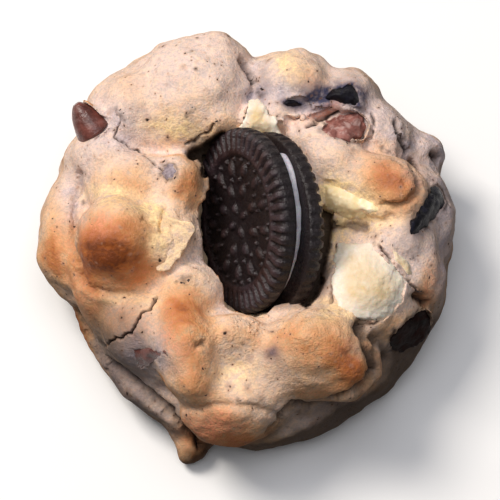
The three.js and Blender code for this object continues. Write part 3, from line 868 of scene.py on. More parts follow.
# What is painted where, in the plane that the photograph looks at: across, up, half sizes, amount and turn
BLOTS: dict[Mark, tuple[tuple[float, ...], ...]] = {
    Mark.TOAST: (
        # caramel dome, whole; deepest; left
        (-19.3, 3.4, 6.3, 6.2, 0.64), (-19.8, 0.8, 5.6, 3.8, 0.3, -14), (-23.0, 3.0, 2.2, 5.0, 0.14, 8),
        (-18.2, 12.8, 6.2, 2.6, 0.2, -6),  # amber above the dome
        # toasted dome, whole; deepest
        (20.6, 13.3, 5.6, 4.6, 0.5, -30), (22.4, 11.4, 4.6, 2.8, 0.24, -34),
        # left flange, whole; tip
        (-28.6, 4.0, 2.8, 8.4, 0.34, 4), (-29.4, 1.6, 1.8, 3.4, 0.3, 10),
        (-23.6, -4.6, 2.4, 5.4, 0.32, 26),  # left band
        # front ridge, whole; low
        (-8.4, -9.4, 4.2, 7.4, 0.4, 10), (-7.4, -16.6, 3.4, 4.6, 0.26, 20),
        # front roll, whole; deepest
        (-3.6, -23.0, 7.0, 3.6, 0.42, 6), (-2.6, -25.4, 6.6, 1.5, 0.34, 4),
        # front right, whole; edge; lower edge
        (10.2, -11.0, 8.0, 5.6, 0.47, -10), (15.4, -14.8, 4.2, 2.6, 0.44, -34),
        (9.6, -18.0, 5.4, 1.6, 0.26, 6),
        (-9.4, -5.4, 3.4, 2.6, 0.28),  # inner front
        (-1.6, -9.6, 5.6, 1.6, 0.2, -10),  # front mouth
        (1.4, -15.4, 5.6, 3.8, 0.12),  # valley
        (7.6, 29.2, 3.8, 2.8, 0.2, -20),  # back right gold
        # pillow: gold; under; rim
        (-9.6, 21.6, 8.6, 4.6, 0.14, -10), (-3.4, 20.6, 3.4, 2.0, 0.14, 20),
        (-17.6, 27.2, 3.4, 3.0, 0.16, 40),
        (-16.8, 13.8, 5.2, 2.8, 0.14, -10),  # left crown
        (-8.4, 11.8, 2.2, 4.2, 0.5),  # inner left
        (27.0, -4.0, 1.6, 4.2, 0.44),  # right low
        (21.4, -8.0, 3.6, 1.6, 0.26, 34),  # above the dark chunk
        (-20.4, -8.0, 3.4, 2.2, 0.16, -30),  # lower left warm
        (-15.8, -6.6, 4.2, 3.0, 0.14, -20),  # lower left
        (-8.0, -29.4, 2.6, 3.0, 0.34),  # foot brown
    ),
    Mark.BLUSH: (
        (-21.6, 6.6, 2.6, 2.6, 0.6),  # caramel dome, flush
        (-17.6, -7.6, 4.6, 2.8, 0.3, -24),  # below the dome, flush
        (22.0, 13.6, 3.6, 2.6, 0.3, -30),  # toasted dome, flush
        (-24.4, -4.4, 1.7, 4.2, 0.35, 24),  # left band, flush
        (-11.0, -9.4, 1.5, 4.6, 0.5, 10),  # front ridge, flush
        (-5.6, -22.8, 5.0, 2.6, 0.9, 10),  # front roll, flush
        (9.6, 28.2, 1.8, 1.8, 0.35, -20),  # back right flush
        (27.2, -2.0, 1.4, 3.4, 0.4),  # right low, flush
        (11.4, 23.8, 4.0, 1.1, 0.8, 26),  # flap
    ),
    Mark.ASH: (
        (-20.5, 7.6, 1.0, 1.3, 0.7),  # caramel dome, painted highlight
        (-26.6, 10.4, 2.2, 4.4, 0.7, -8),  # left flange, pale
        (25.0, 19.0, 7.6, 8.0, 1.0),  # right ash
        (9.0, 25.8, 8.6, 3.0, 0.9, -12),  # back right ash
        (2.6, 27.4, 2.4, 3.6, 0.9),  # back left of the smear
        (30.0, 4.0, 2.8, 11.0, 0.8),  # right edge ash
        (23.4, 2.8, 5.0, 3.2, 0.45, -30),  # right low ash
        (-13.0, 29.2, 10.0, 3.4, 0.4, 28),  # pillow rim ash
        (-18.4, 21.6, 3.4, 3.4, 0.5),  # pillow left ash
        (-14.6, -11.6, 4.6, 5.0, 1.0, -40),  # lower left ash
        (-25.2, 8.8, 1.6, 8.6, 0.55, -6),  # left groove ash
        (-19.8, 18.8, 4.4, 4.4, 0.4),  # chip side ash
        (3.8, -13.6, 3.0, 2.6, 0.4),  # valley ash
        (-12.2, 14.4, 2.4, 2.2, 0.8),  # slot ash
        (4.6, 26.6, 4.2, 2.0, 1.0, -10),  # lilac band
        (1.4, 28.6, 0.9, 3.4, 1.0),  # split stain
        (-19.0, -18.0, 9.0, 1.8, 0.5, -42),  # ledge, pale
    ),
    Mark.BUTTER: (
        (-14.2, 5.8, 2.2, 3.8, 0.45, 16),  # caramel dome, gold
        (-20.2, 11.2, 3.4, 1.2, 0.95, 4),  # gold above the dome
        (-14.4, 8.6, 2.6, 1.3, 1.0, -24),  # gold over the dome's right
        (-12.6, 5.4, 1.6, 4.8, 0.6, 10),  # gold right of the dome
        (-17.0, -4.2, 6.0, 1.1, 0.4, 10),  # gold below the dome
        (12.6, -6.2, 3.6, 1.4, 0.6, -6),  # front right, rim
        (-1.4, -14.4, 3.0, 2.2, 0.6),  # valley, pale
        (5.8, 30.0, 3.2, 2.4, 0.7, -20),  # back right yellow
        (-10.4, 20.6, 5.4, 1.6, 1.0, -14),  # pillow band
        # melt yellow, whole; left
        (15.6, 9.4, 6.4, 3.2, 1.0, -16), (12.4, 8.4, 2.4, 4.4, 0.9),
        (13.6, 3.0, 1.2, 6.0, 0.7),  # hole side yellow
    ),
    Mark.GLAZE: (
        (-19.6, 3.4, 6.8, 6.8, 1.0),  # caramel dome, glaze
        (17.0, 8.6, 5.6, 2.8, 0.8, -14),  # melt, shine
    ),
    # Painted shade on walls, in the hole, under overhangs, in recesses and notches
    Mark.WALL: (
        (24.4, 17.6, 1.4, 4.4, 0.3, 16),  # right crust, shade
        # lower left: shade; light shade
        (-20.2, -11.6, 6.6, 1.8, 0.5, -50), (-18.2, -8.8, 5.8, 4.0, 0.6, -40),
        (11.8, 1.4, 1.0, 7.0, 0.8, -6),  # hole side, deep
        (14.2, 6.2, 3.6, 1.0, 0.6, -6),  # under the melt
        (-6.8, -28.2, 2.0, 2.2, 0.6),  # foot dusk
        (-1.4, -28.0, 8.2, 1.4, 1.0, 2),  # roll underside
        # front wall, whole; low
        (13.0, -24.4, 10.0, 3.2, 1.0, 26), (8.4, -25.4, 5.4, 2.4, 0.9, 10),
        (9.6, -20.6, 5.0, 1.3, 0.6, 6),  # front ledge
        (-24.2, 19.6, 1.4, 0.7, 0.7, -30),  # below the chip
        (22.4, -17.2, 3.2, 9.0, 1.0, -38),  # right front wall
        (18.8, -11.4, 1.4, 3.0, 0.95),  # recess by the brow
        (23.4, -11.0, 4.6, 1.8, 0.9, 34),  # dark chunk recess
        (-7.8, 17.8, 2.0, 1.0, 0.8, 24),  # notch
        (-7.2, 13.0, 0.9, 4.4, 0.5, 10),  # inner wall, dark
    ),
    Mark.SMEAR: (
        (26.4, 14.4, 2.6, 4.6, 0.18),  # right crust, painted shade
        (29.6, 1.0, 1.3, 6.4, 0.22, -4),  # right edge, painted shade
        (-16.4, -13.8, 5.0, 1.9, 0.32, -40),  # lower left, painted shade
        # dark smear, whole; end; lower edge; middle; left
        (13.0, 26.4, 4.2, 2.0, 1.0, 10), (16.4, 25.2, 1.6, 2.2, 1.2), (10.2, 25.4, 4.6, 0.8, 0.4, 6),
        (10.8, 26.8, 4.2, 1.4, 0.5, 14), (2.2, 27.0, 1.0, 2.4, 0.5, 10),
        (6.4, 24.7, 1.8, 0.8, 0.9, 6),  # mouth smear
        (3.2, -12.4, 1.5, 1.4, 0.8),  # grey smudge
        (15.6, -11.2, 2.2, 1.6, 0.4),  # front right smudge
        (25.6, 6.4, 2.6, 1.6, 0.7, 40),  # right bit smear
    ),
    Mark.CRUMBLY: (
        # rim crumbs, whole; left
        (8.0, -8.2, 6.0, 2.2, 0.9), (-4.0, -8.4, 4.6, 2.2, 0.7),
        (-8.4, 4.0, 2.8, 6.0, 0.9),  # flaky edge
        (24.0, 16.0, 8.0, 10.0, 0.45),  # right crust
    ),
}
PATCHES = [Patch(mark, row[:2], row[2:4], *row[4:]) for mark, rows in BLOTS.items() for row in rows]


@dataclass(frozen=True)
class Crack:
    """A jagged crack, as a line in the plane that the photograph looks at; dark is how much painted shade
    fills it.
    """

    line: tuple[tuple[float, float], ...]
    width: float
    depth: float
    dark: float = 0.8
    dashes: float = 0.0

    def distance(self, seen: Array) -> Array:
        """How far each seen point is from the line, in millimetres."""
        nearest = np.full(len(seen), 1e9)
        for start, end in zip(self.line, self.line[1:]):
            a, b = np.array(start), np.array(end)
            t = np.clip((seen - a) @ (b - a) / ((b - a) @ (b - a)), 0, 1)
            nearest = np.minimum(nearest, np.linalg.norm(seen - a - t[:, None] * (b - a), axis=1))
        return nearest

    def weight(self, seen: Array) -> Array:
        """How near each seen point is to the line, from 0 to 1."""
        return np.exp(-((self.distance(seen) / self.width) ** 2))


CRACKS: dict[str, Crack] = {
    "side groove": Crack(((-26.0, -6.4), (-24.6, -9.6), (-22.1, -13.3), (-18.3, -16.3), (-15.0, -18.9),
        (-12.0, -21.2), (-9.8, -23.2), (-7.7, -25.4), (-6.9, -26.7)), 0.55, 1.8, 0.95),
    "side groove, wide": Crack(((-20.6, -14.6), (-16.2, -17.8), (-12.0, -21.0)), 0.9, 1.6, 0.7),
    "outer band, in shade": Crack(((-25.8, -8.6), (-23.2, -13.4), (-19.8, -17.6), (-16.2, -21.4),
        (-13.0, -24.6)), 1.9, 0.0, 0.72),
    "lower left": Crack(((-20.9, -11.4), (-18.9, -9.7), (-18.2, -9.9), (-17.4, -9.1), (-16.6, -9.3),
        (-16.1, -7.7), (-15.5, -7.0), (-15.4, -6.1), (-14.2, -5.6), (-13.3, -4.3)), 0.17, 0.7, 1.0),
    "from the chip": Crack(((-19.8, 23.3), (-18.9, 22.1), (-19.8, 19.8), (-18.6, 18.9), (-17.5, 17.9),
        (-16.2, 17.6), (-15.0, 16.5), (-13.1, 15.1), (-11.9, 13.0)), 0.17, 0.35, 0.9, 0.7),
    "under the pillow": Crack(((-9.2, 18.6), (-7.8, 19.0), (-6.7, 19.8), (-5.4, 20.4), (-4.9, 21.4)),
        0.17, 0.5, 0.9, 0.6),
    "split": Crack(((-0.8, 31.4), (-0.3, 30.4), (0.4, 29.4), (0.9, 28.4)), 0.4, 1.6, 0.85),
    "split, low": Crack(((0.9, 28.4), (0.9, 27.0), (0.4, 25.8)), 0.3, 0.6, 0.2),
    "chunk, left": Crack(((13.4, 3.4), (13.2, 1.2), (12.8, -0.4), (12.2, -2.2), (12.0, -4.4)), 0.3, 0.7,
        1.0, 0.3),
    "chunk, right": Crack(((19.4, 3.3), (21.3, 0.6), (22.1, -0.4), (24.5, -2.5), (25.6, -4.2)), 0.2, 0.7,
        1.0, 0.6),
    "chunk, low": Crack(((16.4, -8.0), (18.4, -8.0), (20.2, -6.9), (21.8, -5.4)), 0.16, 0.5, 0.95, 0.6),
    "dark nick": Crack(((24.9, -4.0), (26.3, -5.2)), 0.7, 1.2, 1.0),
    "right strip": Crack(((22.3, 22.0), (23.0, 19.6), (23.9, 17.6)), 0.4, 0.9, 0.9),
    "right strip, low": Crack(((24.6, 16.0), (25.6, 14.4), (25.2, 12.4)), 0.4, 0.7, 0.7, 0.5),
    "toasted dome, edge": Crack(((24.6, 16.0), (25.6, 13.8), (25.2, 11.6), (23.8, 10.0), (22.0, 9.2),
        (20.1, 9.4)), 0.5, 1.1, 0.3),
    "melt, groove": Crack(((12.2, 6.4), (13.6, 6.9), (15.6, 6.7), (17.4, 6.0)), 0.5, 0.9, 0.5),
    "melt, ridge": Crack(((12.0, 11.4), (14.4, 10.4), (17.0, 8.9), (19.6, 8.2)), 0.8, -0.6, 0.0),
    "brow edge": Crack(((16.4, -7.8), (17.4, -9.8), (18.4, -12.0), (18.6, -14.6), (18.0, -16.6),
        (16.2, -17.6)), 0.8, 2.2, 0.9),
    "under the front right": Crack(((16.2, -17.6), (13.5, -18.2), (11.6, -19.0), (9.4, -19.8),
        (6.6, -19.6), (5.3, -21.0), (4.9, -22.2), (3.0, -24.0)), 0.42, 1.4, 0.8),
    "milk, flap": Crack(((7.6, 21.8), (9.3, 23.2), (11.6, 24.2), (14.4, 24.6), (16.6, 24.5)), 0.8, -0.7,
        0.0),
    "milk, slit": Crack(((8.8, 21.2), (10.2, 22.0), (12.2, 22.9), (13.4, 23.6)), 0.26, 0.6, 1.0),
    "milk, crumbly side": Crack(((18.4, 23.4), (19.0, 21.6), (18.4, 19.6), (16.6, 18.8)), 0.2, 0.5, 0.9,
        0.9),
    "left of the dome": Crack(((-25.4, 14.0), (-25.8, 9.0), (-25.5, 3.0), (-24.4, -2.0)), 0.6, 0.8, 0.25),
    "dome foot": Crack(((-25.0, 1.2), (-24.6, -1.2), (-22.8, -2.9), (-19.6, -3.6), (-16.4, -3.2)), 0.5,
        0.45, 0.15),
    "dome rim": Crack(((-26.0, 0.8), (-25.4, -2.0), (-23.2, -4.0), (-19.6, -4.6)), 0.6, -0.15, 0.0),
    "dome streak": Crack(((-15.0, 7.2), (-12.8, 6.6), (-11.0, 6.8)), 0.4, 0.4, 0.1),
    "leaf crease": Crack(((-12.2, 9.3), (-12.4, 7.8), (-12.6, 5.6)), 0.3, 0.5, 0.3),
    "roll over": Crack(((-9.4, -20.2), (-6.8, -20.0), (-3.8, -19.3), (0.6, -19.6), (4.6, -21.2)), 0.55,
        0.4, 0.12),
    "ridge pit": Crack(((-7.0, -10.8), (-6.2, -10.4)), 0.5, 0.7, 0.6),
    "valley fold": Crack(((4.6, -17.4), (7.4, -16.6), (10.6, -16.9), (13.6, -16.2)), 0.6, 0.15, 0.12,
        0.4),
    "knob hole": Crack(((28.2, 17.2), (28.7, 16.6)), 0.6, 1.2, 1.0),
}

# Gaps at the hole's edge, pressed back and filled with painted shade: where the dough stands back from the
# biscuit, and how far back from the camera
GAPS: tuple[tuple[Crack, float], ...] = (
    (Crack(((-8.2, 17.0), (-6.8, 17.5), (-5.0, 18.7), (-3.8, 19.6)), 0.8, 0.0), 9.5),
    (Crack(((-6.6, 16.6), (-5.6, 17.2), (-4.2, 18.2)), 0.8, 0.0), 9.5),
    (Crack(((-6.6, 16.8), (-6.2, 15.6), (-6.4, 14.0)), 0.5, 0.0), 11.0),
    (Crack(((11.9, 8.8), (11.6, 6.0), (11.1, 2.8), (10.2, -0.6), (9.2, -3.2)), 0.85, 0.0), 14.5),
    (Crack(((10.6, -1.6), (9.8, -3.4), (8.6, -4.8)), 0.7, 0.0), 14.5),
)

# Dark specks that show one by one in the photograph: place in the seen plane and half size
SPOTS: tuple[tuple[float, float, float], ...] = (
    (-8.4, 23.1, 0.42), (-8.9, 22.6, 0.3), (-7.7, 23.5, 0.28), (-4.9, 21.2, 0.4), (-4.2, 21.8, 0.26),
    (-8.3, 32.5, 0.3), (-7.8, 29.6, 0.3), (-5.9, 31.3, 0.28), (-15.4, 16.9, 0.34), (-24.3, 9.8, 0.45),
    (-18.9, 22.9, 0.5), (-18.4, 22.1, 0.4), (-19.5, 23.8, 0.32), (-9.2, -1.5, 0.75), (-8.3, -1.2, 0.5),
    (-10.2, -1.8, 0.4), (-6.3, -10.8, 0.4), (-0.8, -10.5, 0.34), (1.9, -18.5, 0.42), (-1.4, -18.7, 0.34),
    (13.8, -11.7, 0.5), (14.8, -11.0, 0.3), (3.2, -12.2, 0.4), (2.1, 26.0, 0.55), (1.5, 26.6, 0.4),
    (20.0, 17.9, 0.5), (21.0, 17.4, 0.34), (13.4, -2.2, 0.42), (13.2, -3.4, 0.36), (22.0, 0.4, 0.4),
    (25.6, -3.6, 0.7), (26.6, -4.6, 0.6), (28.7, 18.2, 0.55), (22.6, 21.0, 0.6), (23.4, 19.2, 0.6),
    (25.2, 15.6, 0.4), (18.6, 3.7, 0.3), (-12.0, 14.8, 0.5), (-11.2, 14.0, 0.4), (-12.8, 13.8, 0.34),
    (-6.0, -14.6, 0.28), (7.6, -20.9, 0.3), (24.4, 1.6, 0.3), (21.6, 3.0, 0.26), (27.0, 0.6, 0.3),
)


@dataclass
class Dough:
    """The baked dough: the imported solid's forms, with its skin drawn finer, cracked, pitted and browned."""

    rough_voxel: float = 0.5
    voxel: float = 0.44
    reach: float = 2.4  # how deep under the lobes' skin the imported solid's skin is still drawn out to it
    crack_reaches: tuple[float, ...] = (0.7, 0.3)  # how far from a crack faces are divided, round by round
    most: int = 185_000  # triangles
    swell: float = 0.3
    lump: float = 0.32
    crumb: float = 0.16
    filled_swell: float = 0.45  # how far a pocket's filling reaches into the dough
    filled: tuple[str, ...] = (
        "milk_chip_left", "milk_chunk_right", "milk_patch_left", "dark_chunk_low", "white_chunk_right",
        "white_chunk_back", "white_melt_right", "cocoa_bit_back", "cocoa_bit_right", "cocoa_bit_mouth",
    )
    # The leaf of crust over the hole's left edge: its outline, back and front towards the camera
    leaf: Outline = ((-12.2, 7.9), (-7.9, 6.6), (-7.5, 5.7), (-8.6, 3.7), (-9.8, 1.9), (-11.3, 0.1),
                     (-13.1, -0.4), (-13.5, 2.8))
    leaf_levels: tuple[float, float] = (23.7, 24.9)
    leaf_voxel: float = 0.16
    leaf_lean: float = 0.14  # how much nearer to the camera it is for each millimetre to the right
    leaf_middle: float = -10.5
    sheets: dict[str, Array] = field(default_factory=dict)
    lobes: LobeField = field(default_factory=LobeField)

    def build(self, material: Material) -> Piece:
        """Builds and dresses the dough.

        Args:
            material: The baked dough's material.

        Returns:
            The finished piece.
        """
        piece = join([merged_copy("dough"), *(merged_copy(node, self.filled_swell) for node in self.filled)])
        piece.name = "baked_dough"
        remesh(piece, self.rough_voxel)
        move_points(piece, self.lobes.pull(points_of(piece), normals_of(piece), self.reach))
        remesh(piece, self.voxel)
        soften(piece, 2)
        self.thin_base(piece)
        for reach in self.crack_reaches:
            self.refine(piece, reach)
        self.bake(piece)
        piece.data.calc_loop_triangles()
        apply_modifier(piece, "DECIMATE", ratio=min(1.0, self.most / len(piece.data.loop_triangles)))
        self.keep_one_shell(piece)
        finish_piece(piece, "baked_dough", material, "dough")
        self.crust_leaf(material)
        return piece

    def crust_leaf(self, material: Material) -> None:
        """Makes the thin broken leaf of crust that stands over the hole's left edge."""
        leaf = slab("crust_leaf", self.leaf, *self.leaf_levels)
        apply_modifier(leaf, "BEVEL", width=0.12, segments=2)
        remesh(leaf, self.leaf_voxel)
        soften(leaf, 1)
        points = points_of(leaf)
        points[:, :2] += 0.3 * noises_at(points, 1.3, 4.0, 6.0)
        points[:, :2] += 0.1 * noises_at(points, 0.4, 5.0, 7.0)
        points[:, 2] += 0.25 * noise_at(points, 2.0, 8.0) + 0.08 * noise_at(points, 0.5, 9.0)
        points[:, 2] += self.leaf_lean * (points[:, 0] - self.leaf_middle)
        move_points(leaf, points)
        leaf.data.transform(LOOK_FRAME)
        marks = self.marks(points_of(leaf), normals_of(leaf), np.zeros(len(points)))
        for mark, values in marks.items():
            even = {Mark.BUTTER: 0.5, Mark.TOAST: 0.14}.get(mark)
            paint(leaf, mark.value, values * 0.4 if even is None else np.full_like(values, even))
        finish_piece(leaf, "baked_dough", material)

    @staticmethod
    def thin_base(piece: Piece, flat: float = 0.06, kept: float = 0.05) -> None:
        """Takes most faces out of the flat base.

        Args:
            piece: The dough.
            flat: How high a face of the base may start, in millimetres.
            kept: The share of its faces that stays.
        """
        heights = points_of(piece)[:, 2]
        corners = np.array([face.vertices[0] for face in piece.data.polygons])
        edit_chosen(piece, "FACE", heights[corners] < flat)
        bpy.ops.mesh.decimate(ratio=kept)
        leave_edit()

    @staticmethod
    def keep_one_shell(piece: Piece) -> None:
        """Takes away the few loose flecks that the rebuilt skin leaves beside its one big shell."""
        heights = points_of(piece)[:, 2]
        edit_chosen(piece, "VERT", np.arange(len(heights)) == heights.argmax())
        bpy.ops.mesh.select_linked()
        bpy.ops.mesh.select_all(action="INVERT")
        bpy.ops.mesh.delete(type="VERT")
        leave_edit()

    def refine(self, piece: Piece, reach: float) -> None:
        """Divides the faces along the cracks, so that these stay narrow.

        Args:
            piece: The dough.
            reach: How far from a crack a face is still divided, in millimetres.
        """
        seen = seen_plane(vectors_of(piece.data.polygons, "center"))
        near = np.min([*(crack.distance(seen) for crack in CRACKS.values()),
                       *(gap.distance(seen) - 0.3 for gap, _ in GAPS),
                       *(np.abs(outside(seen, nugget.outline)) for nugget in every_nugget())], axis=0)
        facing = vectors_of(piece.data.polygons, "normal") @ LOOK_WAY
        edit_chosen(piece, "FACE", (near < reach) & (facing > 0.0))
        bpy.ops.mesh.subdivide(number_cuts=1)
        leave_edit()

    @staticmethod
    def hollow(piece: Piece, rounds: int = 16) -> Array:
        """How deep each point lies in a dip between the dough's forms, negative on their tops.

        Args:
            piece: The dough.
            rounds: How often each point is moved to the middle of its neighbours.

        Returns:
            The depth, in millimetres.
        """
        points = points_of(piece)
        ends = np.empty(len(piece.data.edges) * 2, dtype=np.int64)
        piece.data.edges.foreach_get("vertices", ends)
        a, b = ends.reshape(-1, 2).T
        count = np.bincount(ends, minlength=len(points))[:, None]
        smooth = points.copy()
        for _ in range(rounds):
            total = np.zeros_like(smooth)
            for axis in range(3):
                total[:, axis] = (np.bincount(a, smooth[b, axis], len(points))
                                  + np.bincount(b, smooth[a, axis], len(points)))
            smooth = 0.5 * smooth + 0.5 * total / count
        return ((smooth - points) * normals_of(piece)).sum(1)

    def marks(self, points: Array, normals: Array, hollow: Array) -> dict[Mark, Array]:
        """Works out how the dough is browned, stained and broken, and where painted shade darkens it.

        Args:
            points: The skin's points, in millimetres.
            normals: Their normals.
            hollow: How deep they lie in a dip.

        Returns:
            A value from 0 to 1 for each mark and point.
        """
        blurred = (seen_plane(points) + noises_at(points, 4.6, 21.0, 22.0) * 1.3
                   + noises_at(points, 1.5, 23.0, 24.0) * 0.5)
        facing = facing_camera(normals)
        deep = step(-self.lobes.skin(points + self.lobes.drift(points)), 0.9, 2.2)
        low = 1.0 - step(points[:, 2], 1.0, 9.0)
        broad = noise_at(points, 9.0, 31.0)
        out = {mark: np.zeros(len(points)) for mark in Mark}
        for patch in PATCHES:
            out[patch.mark] += patch.amount * patch.weight(blurred) * facing
        unseen = (1.0 - facing) * (1.0 - deep)
        crown = np.clip(-hollow * 4.0, -1, 1)
        # Painted shade on the low steep wall, darkest at the right front, where the light doesn't reach
        steep = 1.0 - step(normals[:, 2], 0.0, 0.62)
        shaded = 0.3 + 0.7 * step(normals @ np.array([0.5, -0.85, 0.0]), -0.1, 0.6)
        down = 1.0 - step(points[:, 2] + 2.0 * broad, 6.0, 16.0)
        out[Mark.WALL] += 0.75 * shaded * steep * down * (1.0 - deep)
        # What the photograph doesn't show is browned and stained at random, and the hole's inside is pale
        out[Mark.TOAST] += unseen * np.clip(0.3 + 0.45 * broad + 0.2 * low, 0, 1) + 0.04 + 0.16 * low
        out[Mark.TOAST] += crown * (0.06 + 0.16 * unseen)
        out[Mark.ASH] += unseen * np.clip(0.35 - 0.5 * broad, 0, 1) + 0.12 + 0.2 * low
        out[Mark.TOAST] *= 1.0 - 0.8 * deep
        out[Mark.ASH] *= 1.0 - 0.9 * np.clip(out[Mark.TOAST] * 1.8, 0, 1)
        out[Mark.BUTTER] += deep * 0.6
        out[Mark.CRUMBLY] += 0.2 + deep * 0.6 + 0.25 * noise_at(points, 7.0, 33.0)
        out[Mark.CRUMBLY] *= 1.0 - 0.7 * np.clip(out[Mark.GLAZE], 0, 1)
        out[Mark.SPECKLED] += 0.65 + 0.5 * noise_at(points, 8.0, 34.0)
        out[Mark.SPECKLED] += 0.35 * out[Mark.ASH] - 0.3 * out[Mark.GLAZE]
        # Painted shade in cracks, gaps and along the broken line round each sunk piece, and single dark
        # specks
        fit = self.shaken(points)
        for i, crack in enumerate(CRACKS.values()):
            broken = 1.0 - crack.dashes * step(noise_at(points, 0.9, 40.0 + i), -0.2, 0.3)
            out[Mark.CRACK] = np.maximum(out[Mark.CRACK], crack.dark * broken * crack.weight(fit) * facing)
        for gap, _ in GAPS:
            out[Mark.WALL] = np.maximum(out[Mark.WALL], step(gap.weight(fit), 0.1, 0.5))
        for x, y, half in SPOTS:
            speck = np.exp(-((np.linalg.norm(fit - np.array([x, y]), axis=1) / (half * 0.9)) ** 2)) * facing
            out[Mark.CRACK] = np.maximum(out[Mark.CRACK], 0.7 * speck)
        # Painted shade along the broken line round each sunk piece, as dark as its rim
        for i, nugget in enumerate(every_nugget()):
            ring = np.exp(-(((outside(fit, nugget.outline) - 0.1) / 0.28) ** 2)) * nugget.near(points)
            ring *= nugget.rim * step(noise_at(points, 1.3, 60.0 + i), -0.35, 0.15)
            out[Mark.CRACK] = np.maximum(out[Mark.CRACK], ring * facing)
        return {mark: np.clip(values, 0, 1) for mark, values in out.items()}

    @staticmethod
    def shaken(points: Array) -> Array:
        """The points as the camera sees them, moved a little, so that what is drawn on them is jagged."""
        return (seen_plane(points) + 0.3 * noises_at(points, 1.5, 23.0, 24.0)
                + 0.16 * noises_at(points, 0.5, 25.0, 26.0))

    def bake(self, piece: Piece) -> None:
        """Gives the skin its relief, its painted marks and the beds of the sunk pieces."""
        points, normals = points_of(piece), normals_of(piece)
        marks = self.marks(points, normals, self.hollow(piece))
        rough = marks[Mark.CRUMBLY]
        facing = facing_camera(normals)
        above = step(points[:, 2], 0.15, 1.5)
        rise = self.swell * noise_at(points, 6.0, 1.0)
        rise += self.lump * noise_at(points, 2.5, 2.0) * (0.35 + rough)
        rise += 0.2 * (0.3 - np.abs(noise_at(points, 3.4, 6.0))) * (0.2 + rough)
        rise += self.crumb * noise_at(points, 1.15, 3.0) * (0.25 + 1.4 * rough)
        rise -= 0.3 * rough * step(-noise_at(points, 1.9, 5.0), 0.25, 0.55)
        fit = self.shaken(points)
        for crack in CRACKS.values():
            rise -= crack.depth * crack.weight(fit) * facing
        moved = points + normals * (rise * above)[:, None]
        skin = Skin(moved, normals)
        for nugget in every_nugget():
            sheet = self.sheets[nugget.name] = skin.lie(nugget.outline, nugget.level)
            if nugget.bed:
                fit = self.shaken(moved)
                inside = (1.0 - step(outside(fit, nugget.outline), -0.5, -0.05)) * facing * nugget.near(moved)
                high = moved @ LOOK_WAY - skin.sheet(seen_plane(moved)) @ sheet + nugget.bed
                moved -= np.outer(high * inside, LOOK_WAY)
        for gap, level in GAPS:
            high = np.maximum(moved @ LOOK_WAY - level, 0.0)
            moved -= np.outer(high * step(gap.weight(seen_plane(moved)), 0.25, 0.5), LOOK_WAY)
        moved[:, 2] = np.maximum(moved[:, 2], 0.0)
        move_points(piece, moved)
        for mark, values in marks.items():
            paint(piece, mark.value, values)


@dataclass
class Skin:
    """The finished dough's skin, to set small things on."""

    points: Array
    normals: Array
    marks: dict[Mark, Array] = field(default_factory=dict)

    def lie(self, outline: Outline, level: float, margin: float = 0.9, room: float = 4.0) -> Array:
        """Fits a smooth sheet to the skin where a sunk piece lies.

        Args:
            outline: The piece's outline as the camera sees it.
            level: About how far towards the camera the skin is there, in millimetres.
            margin: How far round the outline the skin is still read.
            room: How far from the level it is still read.

        Returns:
            The six numbers of the sheet, whose height towards the camera is quadratic.
        """
        seen, depth = seen_plane(self.points), self.points @ LOOK_WAY
        near = (outside(seen, outline) < margin) & (np.abs(depth - level) < room)
        near &= self.normals @ LOOK_WAY > 0.25
        return np.linalg.lstsq(self.sheet(seen[near]), depth[near], rcond=None)[0]

    @staticmethod
    def sheet(seen: Array) -> Array:
        """The terms of a quadratic sheet at each seen point."""
        u, v = seen.T
        return np.column_stack([np.ones_like(u), u, v, u * u, u * v, v * v])

    def under(self, place: tuple[float, float]) -> int:
        """The point of the skin that the camera sees at a place in its plane."""
        off = np.linalg.norm(seen_plane(self.points) - np.array(place), axis=1)
        near = off < 0.7
        depth = self.points @ LOOK_WAY
        return int(np.argmax(np.where(near, depth, -1e9) if near.any() else -off))


# The biscuit


